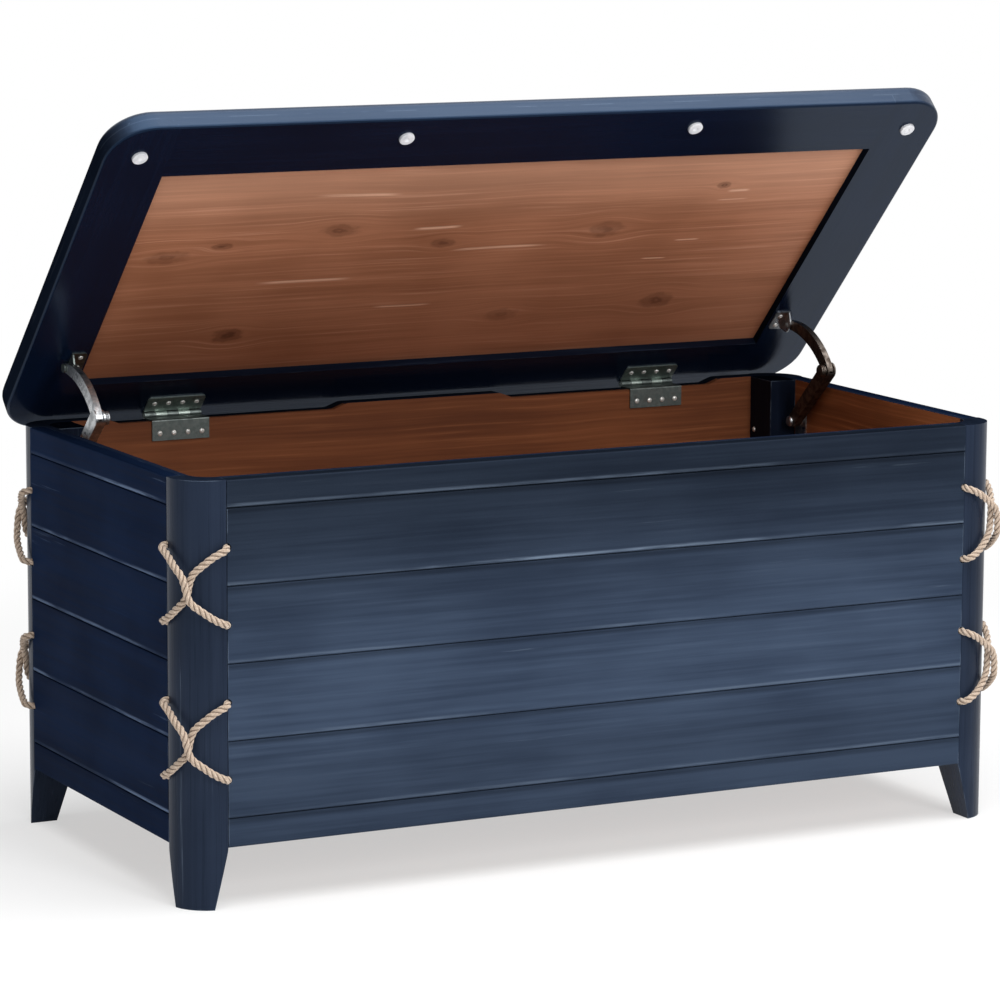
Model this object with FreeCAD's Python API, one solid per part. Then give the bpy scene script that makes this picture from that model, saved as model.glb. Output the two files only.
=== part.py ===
import FreeCAD, Part
import math
import os

Vector = FreeCAD.Vector
Placement = FreeCAD.Placement
Rotation = FreeCAD.Rotation
UP = Vector(0, 0, 1)
ACROSS = Vector(1, 0, 0)
INWARD = Vector(0, 1, 0)

# Lengths are in millimetres: X runs along the chest, Y towards its back, Z up from the floor.

# Case of boards between four corner posts
case_length = 1084.0
case_depth = 523.0
rim_height = 493.0
board_underside = 71.0
board_thickness = 18.0
top_strip_height = 32.0
bottom_strip_height = 34.0
plank_rows = 4
board_ease = 2.5
tongue_height = 6.0
tongue_thickness = 6.0
tongue_clearance = 0.3

# Corner posts, with a quarter-round outside, a cove inside and legs tapered on the two inner sides
post_width = 52.0
post_round = 45.0
post_ease = 2.0
foot_width = 35.0

# Cedar lining, floor and the pieces that carry them
lining_thickness = 8.0
floor_thickness = 9.0
cleat_size = 18.0
block_width = 37.0
block_depth = 52.0
block_clearance = 0.3
block_screw_drop = 69.0
block_screw_inset = 10.0

# Reliefs in the rim of the back wall, where the hinges lie
relief_start = 108.0
relief_end = 433.0
relief_depth = 7.0
relief_run = 19.0
relief_ease = 6.0

# Lid: a top board on a frame of stiles and rails with a cedar panel set into it
lid_side_overhang = 17.0
lid_rear_overhang = 17.0
lid_front_overhang = 12.5
lid_thickness = 30.0
lid_frame_thickness = 14.0
lid_panel_thickness = 4.0
lid_corner_round = 55.0
lid_top_round = 10.0
lid_under_round = 3.5
stile_width = 82.0
rear_rail_width = 80.0
front_rail_width = 85.5
lid_rest_angle = 45.5

# Bumpers under the lid
bumper_radius = 9.3
bumper_height = 3.5
bumper_ease = 1.2
bumper_dimple_radius = 3.4
bumper_dimple_depth = 1.4
middle_bumper_places = (-183.0, 205.0)
middle_bumper_setback = 32.5
corner_bumper_inset = 44.0
corner_bumper_setback = 49.5

# Butt hinges, whose case leaf wraps over the back wall
hinge_place = 335.0
hinge_width = 76.0
hinge_pin_drop = 2.6
leaf_thickness = 2.0
leaf_bend = 2.0
case_leaf_height = 24.0
lid_leaf_depth = 30.0
lid_leaf_ease = 4.0
knuckle_radius = 4.0
knuckle_count = 5
knuckle_clearance = 0.4
knuckle_gap = 0.3
pin_radius = 2.0
pin_clearance = 0.05
lid_hinge_gap = 0.2

# Screws, whose shanks end at the face of the wood, and the rounding of domed heads
dome_share = 0.9
screw_radius = 1.6
screw_head_radius = 3.3
screw_head_height = 1.7
screw_clearance = 0.1
hinge_screws = 4
hinge_screw_margin = 10.0
case_leaf_screw_drop = 15.0
lid_leaf_screw_reach = 19.0

# Lid stays: places are measured forward of the hinge axis and down from it
stay_lid_pivot_reach = 112.0
stay_lid_pivot_drop = 5.0
stay_wall_pivot_reach = 95.0
stay_wall_pivot_drop = 49.0
stay_arm_gap = 0.3
wall_plate_width = 26.0
wall_plate_rise = 22.0
wall_plate_fall = 32.0
wall_plate_thickness = 2.0
wall_plate_round = 8.0
wall_plate_screw_inset = 7.0
wall_boss_radius = 7.0
wall_boss_height = 3.0
rivet_radius = 3.0
rivet_head_radius = 7.0
rivet_head_height = 3.2
lower_arm_width = 12.0
lower_arm_sheet = 1.8
lower_arm_wall_radius = 7.5
lower_arm_elbow_radius = 10.0
upper_arm_sheet = 1.6
upper_arm_lid_radius = 5.5
upper_arm_middle_radius = 8.0
upper_arm_elbow_radius = 7.6
upper_arm_bow = 13.0
drum_radius = 8.5
drum_height = 7.0
drum_groove = 1.2
drum_turns = 3
lid_bracket_width = 34.0
lid_bracket_depth = 20.0
lid_bracket_thickness = 2.0
lid_bracket_round = 5.0
lid_bracket_screw_inset = 8.0
lid_rivet_radius = 2.7
lid_rivet_head_radius = 5.5
lid_rivet_head_height = 2.0

# Rope lashings, two crosses on every post, between holes in the seams beside it
rope_diameter = 8.4
rope_hole_clearance = 0.5
rope_hole_depth = 14.0
cord_arc_share = 0.45

# One strand of a cross: share of the way round the post, share of the drop, stand-off in diameters
outer_strand_shares = (
    (0.14, 0.09, 1.04),
    (0.33, 0.24, 1.5),
    (0.47, 0.35, 1.95),
    (0.53, 0.66, 1.95),
    (0.67, 0.77, 1.5),
    (0.86, 0.91, 1.04),
)
inner_strand_shares = (
    (0.14, 0.09, 0.84),
    (0.33, 0.24, 0.86),
    (0.47, 0.35, 0.9),
    (0.53, 0.66, 0.9),
    (0.67, 0.77, 0.86),
    (0.86, 0.91, 0.84),
)
exit_standoff_share = 1.12

overrun = 5.0
least_edge = 0.001

# Worked out from the sizes above
wall_thickness = board_thickness + lining_thickness
plank_height = (rim_height - board_underside - top_strip_height - bottom_strip_height) / plank_rows
long_run = case_length - 2 * post_width
short_run = case_depth - 2 * post_width
cove_radius = post_width - wall_thickness
floor_underside = board_underside + cleat_size
floor_top = floor_underside + floor_thickness
inner_half_length = case_length / 2 - wall_thickness
inner_half_depth = case_depth / 2 - wall_thickness
hinge_y = case_depth / 2
hinge_z = rim_height - hinge_pin_drop
relief_gap = relief_depth - hinge_pin_drop
lid_underside = knuckle_radius + lid_hinge_gap
lid_length = case_length + 2 * lid_side_overhang
lid_front = case_depth + lid_front_overhang
panel_half_length = lid_length / 2 - stile_width
panel_rear = rear_rail_width - lid_rear_overhang
panel_front = lid_front - front_rail_width
rope_hole_radius = rope_diameter / 2 + rope_hole_clearance

# Turn of each wall about the case's middle, its distance from there and the length of its boards
walls = {
    "front": (0, case_depth / 2, long_run),
    "right": (90, case_length / 2, short_run),
    "back": (180, case_depth / 2, long_run),
    "left": (270, case_length / 2, short_run),
}

# Turn of each post and the side of the case, along X and Y, on which it stands
posts = {
    "front_left": (0, -1, -1),
    "front_right": (90, 1, -1),
    "back_right": (180, 1, 1),
    "back_left": (270, -1, 1),
}


def unit(vector):
    """The vector at length one."""
    return vector * (1 / vector.Length)


def half_angle(before, corner, after):
    """Half the angle between the two lines that meet at a corner."""
    return (before - corner).getAngle(after - corner) / 2


def corner_arc(before, corner, after, reach):
    """Start, middle and end of the arc that leaves a corner's two lines at reach from it."""
    back = unit(before - corner)
    ahead = unit(after - corner)
    half = half_angle(before, corner, after)
    radius = reach * math.tan(half)
    middle = corner + unit(back + ahead) * (reach / math.cos(half) - radius)
    return corner + back * reach, middle, corner + ahead * reach


def rounded_face(corners):
    """Plane face inside corners given as (point, radius)."""
    edges = []
    stops = []
    for index, (corner, radius) in enumerate(corners):
        before = corners[index - 1][0]
        after = corners[(index + 1) % len(corners)][0]
        if radius:
            reach = radius / math.tan(half_angle(before, corner, after))
            start, middle, end = corner_arc(before, corner, after, reach)
            edges.append(Part.Arc(start, middle, end).toShape())
            stops.append((start, end))
        else:
            stops.append((corner, corner))
    for (_, end), (start, _) in zip(stops, stops[1:] + stops[:1]):
        if (start - end).Length > least_edge:
            edges.append(Part.LineSegment(end, start).toShape())
    return Part.Face(Part.Wire(Part.__sortEdges__(edges)))


def block(low, high):
    """Box between two corners."""
    size = high - low
    return Part.makeBox(size.x, size.y, size.z, low)


def mirrored(shape):
    """The shape and its twin on the other side of the chest."""
    return [shape, shape.mirror(Vector(0, 0, 0), ACROSS)]


def turned(profile):
    """Solid of revolution of (radius, height) corners with their rounding, about Z."""
    corners = [(Vector(radius, 0, height), rounding) for radius, height, rounding in profile]
    return rounded_face(corners).revolve(Vector(0, 0, 0), UP, 360)


def put(shape, point, direction):
    """Copy of a shape made about Z, stood at a point along a direction."""
    copy = shape.copy()
    copy.Placement = Placement(point, Rotation(UP, direction)).multiply(copy.Placement)
    return copy


def wall_place(turn, reach):
    """Place of a wall made with its outer face on Y = 0 and its inside towards +Y."""
    rotation = Rotation(UP, turn)
    return Placement(rotation.multVec(Vector(0, -reach, 0)), rotation)


def post_place(turn, side_x, side_y):
    """Place of a post made with its outer corner at the origin."""
    return Placement(Vector(side_x * case_length / 2, side_y * case_depth / 2, 0), Rotation(UP, turn))


def placed(shape, place):
    """Copy of a shape at a place."""
    copy = shape.copy()
    copy.Placement = place.multiply(copy.Placement)
    return copy


def plank_middle(row):
    """Height of the middle of a plank, counted from the top."""
    return rim_height - top_strip_height - (row + 0.5) * plank_height


def rope_hole(point, direction):
    """Blind hole for a rope's end, from an outer face of the case."""
    depth = rope_hole_depth + overrun
    return Part.makeCylinder(rope_hole_radius, depth, point - direction * overrun, direction)


def board(run, low, high, has_tongue, has_groove):
    """Board of a wall, tongued on top and grooved below, with its outer arrises eased."""
    tongue_start = (board_thickness - tongue_thickness) / 2
    tongue_end = tongue_start + tongue_thickness
    groove_start = tongue_start - tongue_clearance
    groove_end = tongue_end + tongue_clearance
    groove_top = low + tongue_height + tongue_clearance
    outline = [(0, low, board_ease)]
    if has_groove:
        outline += [(groove_start, low, 0), (groove_start, groove_top, 0)]
        outline += [(groove_end, groove_top, 0), (groove_end, low, 0)]
    outline += [(board_thickness, low, 0), (board_thickness, high, 0)]
    if has_tongue:
        outline += [(tongue_end, high, 0), (tongue_end, high + tongue_height, 0)]
        outline += [(tongue_start, high + tongue_height, 0), (tongue_start, high, 0)]
    outline += [(0, high, board_ease)]
    section = rounded_face([(Vector(-run / 2, depth, height), ease) for depth, height, ease in outline])
    return section.extrude(ACROSS * run)


def plank(run, row):
    """One of the four wide boards of a wall, with a rope hole in each end."""
    middle = plank_middle(row)
    solid = board(run, middle - plank_height / 2, middle + plank_height / 2, True, True)
    for end in (-run / 2, run / 2):
        solid = solid.cut(rope_hole(Vector(end, 0, middle), INWARD))
    return solid


def rim_reliefs():
    """Cutter for the two shallow steps in the rim of the back wall."""
    floor = rim_height - relief_depth
    above = rim_height + overrun
    outline = [
        (relief_start - relief_run, above, 0),
        (relief_start - relief_run, rim_height, 0),
        (relief_start, rim_height, relief_ease),
        (relief_start + relief_run, floor, relief_ease),
        (relief_end - relief_run, floor, relief_ease),
        (relief_end, rim_height, relief_ease),
        (relief_end + relief_run, rim_height, 0),
        (relief_end + relief_run, above, 0),
    ]
    section = rounded_face([(Vector(along, -overrun, height), ease) for along, height, ease in outline])
    return Part.makeCompound(mirrored(section.extrude(INWARD * (wall_thickness + 2 * overrun))))


def wall_boards(name, turn, reach, run):
    """The six boards of a wall, from the strip under the rim to the strip above the floor."""
    place = wall_place(turn, reach)
    strip_top = board_underside + bottom_strip_height
    top = board(run, rim_height - top_strip_height, rim_height, False, True)
    if name == "back":
        top = top.cut(rim_reliefs())
    boards = {f"{name}_top_strip": placed(top, place)}
    for row in range(plank_rows):
        boards[f"{name}_plank_{row + 1}"] = placed(plank(run, row), place)
    bottom = board(run, board_underside, strip_top, True, False)
    boards[f"{name}_bottom_strip"] = placed(bottom, place)
    return boards


def lining(name, turn, reach, run):
    """Cedar sheet behind the boards of a wall, standing on the floor."""
    low = Vector(-run / 2, board_thickness, floor_top)
    solid = block(low, Vector(run / 2, wall_thickness, rim_height))
    if name == "back":
        solid = solid.cut(rim_reliefs())
    return placed(solid, wall_place(turn, reach))


def leg_taper(swapped):
    """Cutter that tapers one inner side of a leg down to the foot."""
    slope = (post_width - foot_width) / board_underside
    beyond = post_width + overrun
    outline = [
        (foot_width - slope * overrun, -overrun),
        (beyond, -overrun),
        (beyond, board_underside),
        (post_width, board_underside),
    ]
    if swapped:
        section = rounded_face([(Vector(-overrun, across, height), 0) for across, height in outline])
        return section.extrude(ACROSS * (post_width + 2 * overrun))
    section = rounded_face([(Vector(across, -overrun, height), 0) for across, height in outline])
    return section.extrude(INWARD * (post_width + 2 * overrun))


def post():
    """Corner post and leg in one, with its cove above the floor and its share of the rope holes."""
    plan = [
        (Vector(0, 0, 0), post_round),
        (Vector(post_width, 0, 0), post_ease),
        (Vector(post_width, post_width, 0), 0),
        (Vector(0, post_width, 0), post_ease),
    ]
    solid = rounded_face(plan).extrude(UP * rim_height)
    cove_foot = Vector(post_width, post_width, floor_underside)
    solid = solid.cut(Part.makeCylinder(cove_radius, rim_height - floor_underside + overrun, cove_foot))
    solid = solid.cut(leg_taper(False)).cut(leg_taper(True))
    for row in range(plank_rows):
        height = plank_middle(row)
        solid = solid.cut(rope_hole(Vector(post_width, 0, height), INWARD))
        solid = solid.cut(rope_hole(Vector(0, post_width, height), ACROSS))
    return solid


def floor_panel(post_solids):
    """Floor sheet that fills the case, cut round the posts and carried by their shoulders."""
    half_length = case_length / 2 - board_thickness
    half_depth = case_depth / 2 - board_thickness
    low = Vector(-half_length, -half_depth, floor_underside)
    solid = block(low, Vector(half_length, half_depth, floor_top))
    return solid.cut(post_solids)


def floor_cleats():
    """Square battens on the inside of the bottom strips, under the floor."""
    cleats = []
    for turn, reach, run in walls.values():
        low = Vector(-run / 2, board_thickness, board_underside)
        high = Vector(run / 2, board_thickness + cleat_size, floor_underside)
        cleats.append(placed(block(low, high), wall_place(turn, reach)))
    return Part.makeCompound(cleats)


def corner_blocks():
    """Upright blocks in the two rear corners, rounded to the coves of the posts."""
    plan = [
        (Vector(inner_half_length, inner_half_depth, floor_top), cove_radius + block_clearance),
        (Vector(inner_half_length - block_width, inner_half_depth, floor_top), 0),
        (Vector(inner_half_length - block_width, inner_half_depth - block_depth, floor_top), 0),
        (Vector(inner_half_length, inner_half_depth - block_depth, floor_top), 0),
    ]
    solid = rounded_face(plan).extrude(UP * (rim_height - floor_top))
    return Part.makeCompound(mirrored(solid))


def side_point(across, reach, rise):
    """Point at a distance along X, forward of the hinge axis and above it."""
    return Vector(across, hinge_y - reach, hinge_z + rise)


def opened(shape):
    """Copy of a piece of the closed lid, turned about the hinge axis to its place at rest."""
    copy = shape.copy()
    copy.rotate(side_point(0, 0, 0), -ACROSS, lid_rest_angle)
    return copy


def level_edges(solid, height):
    """Edges of a solid that lie level at a height."""
    low = height - least_edge
    high = height + least_edge
    return [edge for edge in solid.Edges if edge.BoundBox.ZMin > low and edge.BoundBox.ZMax < high]


def lid_slab():
    """Whole lid, closed and without its recess, with round corners and its arrises rounded."""
    half = lid_length / 2
    plan = [
        (side_point(-half, -lid_rear_overhang, lid_underside), lid_corner_round),
        (side_point(half, -lid_rear_overhang, lid_underside), lid_corner_round),
        (side_point(half, lid_front, lid_underside), lid_corner_round),
        (side_point(-half, lid_front, lid_underside), lid_corner_round),
    ]
    slab = rounded_face(plan).extrude(UP * lid_thickness)
    low = hinge_z + lid_underside
    slab = slab.makeFillet(lid_top_round, level_edges(slab, low + lid_thickness))
    return slab.makeFillet(lid_under_round, level_edges(slab, low))


def lid_boards():
    """Top board, stiles, rails and cedar panel, sawn from the slab."""
    slab = lid_slab()
    half = lid_length / 2 + overrun
    rear = -lid_rear_overhang - overrun
    front = lid_front + overrun
    frame_top = lid_underside + lid_frame_thickness
    panel_low = frame_top - lid_panel_thickness
    under = lid_underside - overrun
    above = lid_underside + lid_thickness + overrun

    def sawn(left, right, back, fore, low, high):
        return slab.common(block(side_point(left, fore, low), side_point(right, back, high)))

    inner = panel_half_length
    panel = block(side_point(-inner, panel_front, panel_low), side_point(inner, panel_rear, frame_top))
    return {
        "lid_top_board": sawn(-half, half, rear, front, frame_top, above),
        "lid_left_stile": sawn(-half, -inner, rear, front, under, frame_top),
        "lid_right_stile": sawn(inner, half, rear, front, under, frame_top),
        "lid_rear_rail": sawn(-inner, inner, rear, panel_rear, under, frame_top),
        "lid_front_rail": sawn(-inner, inner, panel_front, front, under, frame_top),
        "lid_cedar_panel": panel,
    }


def lid_bumpers():
    """Four round bumpers with a dimple for their screw, on the underside along the front."""
    dimple_floor = bumper_height - bumper_dimple_depth
    bumper = turned([
        (0, 0, 0),
        (bumper_radius, 0, 0),
        (bumper_radius, bumper_height, bumper_ease),
        (bumper_dimple_radius, bumper_height, 0),
        (bumper_dimple_radius / 2, dimple_floor, 0),
        (0, dimple_floor, 0),
    ])
    middle_reach = lid_front - middle_bumper_setback
    corner_reach = lid_front - corner_bumper_setback
    corner_place = lid_length / 2 - corner_bumper_inset
    seats = [side_point(place, middle_reach, lid_underside) for place in middle_bumper_places]
    seats += [side_point(place, corner_reach, lid_underside) for place in (-corner_place, corner_place)]
    return Part.makeCompound([put(bumper, seat, -UP) for seat in seats])


def knuckle_spans(first):
    """Start and end, along X, of every second knuckle of the right hinge."""
    pitch = hinge_width / knuckle_count
    start = hinge_place - hinge_width / 2
    spans = []
    for index in range(first, knuckle_count, 2):
        low = start + index * pitch + knuckle_gap / 2
        spans.append((low, low + pitch - knuckle_gap))
    return spans


def knuckles(first, tab_low, tab_high):
    """Knuckles of one leaf about the hinge axis, with the tabs that carry them."""
    tab_reach = knuckle_radius + knuckle_clearance
    solids = []
    for start, end in knuckle_spans(first):
        barrel = Part.makeCylinder(knuckle_radius, end - start, side_point(start, 0, 0), ACROSS)
        solids.append(barrel)
        solids.append(block(side_point(start, tab_reach, tab_low), side_point(end, 0, tab_high)))
    return solids


def hinge_screw_places():
    """Places along X of the screws in one row of the right hinge."""
    start = hinge_place - hinge_width / 2 + hinge_screw_margin
    pitch = (hinge_width - 2 * hinge_screw_margin) / (hinge_screws - 1)
    return [start + index * pitch for index in range(hinge_screws)]


def case_leaf_screws():
    """Point under each screw head on the right case leaf."""
    reach = wall_thickness + leaf_thickness
    rise = -relief_gap - case_leaf_screw_drop
    return [side_point(place, reach, rise) for place in hinge_screw_places()]


def lid_leaf_screws():
    """Point under each screw head on the right lid leaf, with the lid closed."""
    rise = lid_underside - leaf_thickness
    return [side_point(place, lid_leaf_screw_reach, rise) for place in hinge_screw_places()]


def bored(solid, points, direction):
    """The solid with a screw hole under each point, from the side that the direction faces."""
    radius = screw_radius + screw_clearance
    depth = leaf_thickness + wall_plate_thickness + 2 * overrun
    for point in points:
        solid = solid.cut(Part.makeCylinder(radius, depth, point + direction * overrun, -direction))
    return solid


def hinge_case_leaves():
    """Leaves that wrap over the back wall: screwed to its inside, knuckles at its outer face."""
    start = hinge_place - hinge_width / 2
    top = leaf_thickness - relief_gap
    inner = wall_thickness + leaf_thickness
    tab_reach = knuckle_radius + knuckle_clearance
    section = [
        (tab_reach, -relief_gap, 0),
        (wall_thickness, -relief_gap, 0),
        (wall_thickness, -relief_gap - case_leaf_height, 0),
        (inner, -relief_gap - case_leaf_height, 0),
        (inner, top, leaf_bend),
        (tab_reach, top, 0),
    ]
    corners = [(side_point(start, reach, rise), ease) for reach, rise, ease in section]
    solid = rounded_face(corners).extrude(ACROSS * hinge_width)
    solid = solid.fuse(knuckles(0, -relief_gap, top)).removeSplitter()
    solid = bored(solid, case_leaf_screws(), -INWARD)
    bore = Part.makeCylinder(pin_radius, hinge_width + 2 * overrun, side_point(start - overrun, 0, 0), ACROSS)
    return Part.makeCompound(mirrored(solid.cut(bore)))


def hinge_lid_leaves():
    """Leaves under the rear rail of the lid, closed, with their knuckles between the others."""
    start = hinge_place - hinge_width / 2
    end = start + hinge_width
    low = lid_underside - leaf_thickness
    tab_reach = knuckle_radius + knuckle_clearance
    plan = [
        (side_point(start, tab_reach, low), 0),
        (side_point(end, tab_reach, low), 0),
        (side_point(end, lid_leaf_depth, low), lid_leaf_ease),
        (side_point(start, lid_leaf_depth, low), lid_leaf_ease),
    ]
    solid = rounded_face(plan).extrude(UP * leaf_thickness)
    solid = solid.fuse(knuckles(1, low, lid_underside)).removeSplitter()
    solid = bored(solid, lid_leaf_screws(), -UP)
    bore = Part.makeCylinder(pin_radius, hinge_width + 2 * overrun, side_point(start - overrun, 0, 0), ACROSS)
    return Part.makeCompound(mirrored(solid.cut(bore)))


def hinge_pins():
    """Pins through the knuckles."""
    start = side_point(hinge_place - hinge_width / 2, 0, 0)
    pin = Part.makeCylinder(pin_radius - pin_clearance, hinge_width, start, ACROSS)
    return Part.makeCompound(mirrored(pin))


def screw(seat_depth):
    """Round-head screw about Z, its head above Z = 0 and its shank down to the wood."""
    return turned([
        (0, -seat_depth, 0),
        (screw_radius, -seat_depth, 0),
        (screw_radius, 0, 0),
        (screw_head_radius, 0, 0),
        (screw_head_radius, screw_head_height, screw_head_height * dome_share),
        (0, screw_head_height, 0),
    ])


def wall_pivot(across):
    """Pivot of the right stay on the side wall; the left stay is its mirror image."""
    return side_point(across, stay_wall_pivot_reach, -stay_wall_pivot_drop)


def lid_pivot(across):
    """Pivot of a stay on the lid, at rest."""
    angle = math.radians(lid_rest_angle)
    reach = stay_lid_pivot_reach * math.cos(angle) + stay_lid_pivot_drop * math.sin(angle)
    rise = stay_lid_pivot_reach * math.sin(angle) - stay_lid_pivot_drop * math.cos(angle)
    return side_point(across, reach, rise)


def elbow(across):
    """Elbow of a stay: with the hinge axis, its pivots are the corners of a parallelogram."""
    return wall_pivot(across) + lid_pivot(across) - side_point(across, 0, 0)


# Faces of the stays along X, from the side wall inwards
wall_face = inner_half_length
plate_face = wall_face - wall_plate_thickness
boss_face = plate_face - wall_boss_height
lower_outer = boss_face - stay_arm_gap
lower_inner = lower_outer - lower_arm_width
upper_outer = lower_outer - lower_arm_sheet - stay_arm_gap
upper_inner = lower_inner + lower_arm_sheet + stay_arm_gap
bracket_face = upper_inner - stay_arm_gap


def arm_axes(start, end, bow):
    """Directions along an arm and to its open side, at its start, its middle and its end."""
    along = unit(end - start)
    aside = along.cross(ACROSS)
    lean = 2 * math.atan(2 * bow / (end - start).Length)
    axes = []
    for angle in (-lean, 0, lean):
        leaned_along = along * math.cos(angle) + aside * math.sin(angle)
        leaned_aside = aside * math.cos(angle) - along * math.sin(angle)
        axes.append((leaned_along, leaned_aside))
    return axes


def arm_side(start, end, offsets, bow):
    """Edge along an arm, at offsets from its start, middle and end to its open side, and its ends."""
    (_, start_aside), (_, aside), (_, end_aside) = arm_axes(start, end, bow)
    first = start + start_aside * offsets[0]
    last = end + end_aside * offsets[2]
    if bow:
        middle = (start + end) * 0.5 + aside * (offsets[1] - bow)
        return Part.Arc(first, middle, last).toShape(), first, last
    return Part.LineSegment(first, last).toShape(), first, last


def arm_face(start, end, radii, bow):
    """Outline of an arm between two pivots: round ends, and sides that bow away from the open one."""
    (start_along, _), _, (end_along, _) = arm_axes(start, end, bow)
    open_side, open_start, open_end = arm_side(start, end, radii, bow)
    web_side, web_start, web_end = arm_side(start, end, [-radius for radius in radii], bow)
    start_round = Part.Arc(open_start, start - start_along * radii[0], web_start).toShape()
    end_round = Part.Arc(open_end, end + end_along * radii[2], web_end).toShape()
    return Part.Face(Part.Wire(Part.__sortEdges__([open_side, end_round, web_side, start_round])))


def arm_pocket(start, end, radii, bow, sheet):
    """Face that clears an arm's channel down to the sheet of its web, open past its ends."""
    (start_along, start_aside), _, (end_along, end_aside) = arm_axes(start, end, bow)
    web, web_start, web_end = arm_side(start, end, [sheet - radius for radius in radii], bow)
    beyond = 2 * max(radii) + overrun
    before = web_start - start_along * beyond
    after = web_end + end_along * beyond
    corners = [web_end, after, after + end_aside * beyond, before + start_aside * beyond, before, web_start]
    sides = [Part.LineSegment(one, other).toShape() for one, other in zip(corners, corners[1:])]
    return Part.Face(Part.Wire(Part.__sortEdges__([web] + sides)))


def channel_arm(start, end, span, radii, bow, sheet):
    """Arm folded from sheet to a channel that spans two places along X, between two pivots."""
    inner, outer = span
    low = inner + sheet
    face = arm_face(start(inner), end(inner), radii, bow)
    pocket = arm_pocket(start(low), end(low), radii, bow, sheet)
    return face.extrude(ACROSS * (outer - inner)).cut(pocket.extrude(ACROSS * (outer - sheet - low)))


def rod(radius, start, end):
    """Round bar between two points."""
    return Part.makeCylinder(radius, (end - start).Length, start, end - start)


def rivet_head(radius, height, point):
    """Domed head at a point of a stay, facing the middle of the chest."""
    dome = turned([(0, 0, 0), (radius, 0, 0), (radius, height, height * dome_share), (0, height, 0)])
    return put(dome, point, -ACROSS)


def wall_plate_screws():
    """Point under each screw head on the right wall bracket."""
    top = -stay_wall_pivot_drop + wall_plate_rise - wall_plate_screw_inset
    bottom = -stay_wall_pivot_drop - wall_plate_fall + wall_plate_screw_inset
    return [side_point(plate_face, stay_wall_pivot_reach, rise) for rise in (top, bottom)]


def wall_bracket():
    """Plate on the side wall with a boss, and the rivet that the lower arm turns on."""
    near = stay_wall_pivot_reach - wall_plate_width / 2
    far = stay_wall_pivot_reach + wall_plate_width / 2
    top = -stay_wall_pivot_drop + wall_plate_rise
    bottom = -stay_wall_pivot_drop - wall_plate_fall
    corners = [(near, bottom), (far, bottom), (far, top), (near, top)]
    outline = [(side_point(plate_face, reach, rise), wall_plate_round) for reach, rise in corners]
    plate = rounded_face(outline).extrude(ACROSS * wall_plate_thickness)
    plate = bored(plate, wall_plate_screws(), -ACROSS)
    boss = rod(wall_boss_radius, wall_pivot(plate_face), wall_pivot(boss_face))
    head_face = lower_inner - stay_arm_gap
    shank = rod(rivet_radius, wall_pivot(boss_face), wall_pivot(head_face))
    head = rivet_head(rivet_head_radius, rivet_head_height, wall_pivot(head_face))
    return plate.fuse([boss, shank, head]).removeSplitter()


def spring_drum():
    """Grooved drum of the elbow's spring, on the inner side of the lower arm."""
    pitch = drum_height / drum_turns
    profile = [(0, 0, 0)]
    for turn in range(drum_turns):
        profile.append((drum_radius - drum_groove, turn * pitch, 0))
        profile.append((drum_radius, (turn + 0.5) * pitch, drum_groove))
    profile += [(drum_radius - drum_groove, drum_height, 0), (0, drum_height, 0)]
    return put(turned(profile), elbow(lower_inner), -ACROSS)


def lower_arm():
    """Straight channel from the wall to the elbow, with the elbow's pin and spring drum."""
    middle_radius = (lower_arm_wall_radius + lower_arm_elbow_radius) / 2
    radii = (lower_arm_wall_radius, middle_radius, lower_arm_elbow_radius)
    arm = channel_arm(wall_pivot, elbow, (lower_inner, lower_outer), radii, 0, lower_arm_sheet)
    hole = rod(rivet_radius + pin_clearance, wall_pivot(lower_outer + overrun), wall_pivot(lower_inner - overrun))
    pin = rod(rivet_radius, elbow(lower_inner), elbow(lower_outer))
    return arm.cut(hole).fuse([pin, spring_drum()]).removeSplitter()


def upper_arm():
    """Bowed channel from the elbow, inside the lower arm's, to the lid, where it is narrow."""
    radii = (upper_arm_elbow_radius, upper_arm_middle_radius, upper_arm_lid_radius)
    span = (upper_inner, upper_outer)
    arm = channel_arm(elbow, lid_pivot, span, radii, upper_arm_bow, upper_arm_sheet)
    elbow_hole = rod(rivet_radius + pin_clearance, elbow(upper_outer + overrun), elbow(upper_inner - overrun))
    lid_hole = rod(rivet_radius, lid_pivot(upper_outer + overrun), lid_pivot(upper_inner - overrun))
    return arm.cut(elbow_hole).cut(lid_hole)


def lid_bracket_screws():
    """Point under each screw head on the right lid bracket, with the lid closed."""
    rise = lid_underside - lid_bracket_thickness
    across = bracket_face - lid_bracket_thickness - lid_bracket_depth / 2
    spread = lid_bracket_width / 2 - lid_bracket_screw_inset
    reaches = (stay_lid_pivot_reach - spread, stay_lid_pivot_reach + spread)
    return [side_point(across, reach, rise) for reach in reaches]


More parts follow.
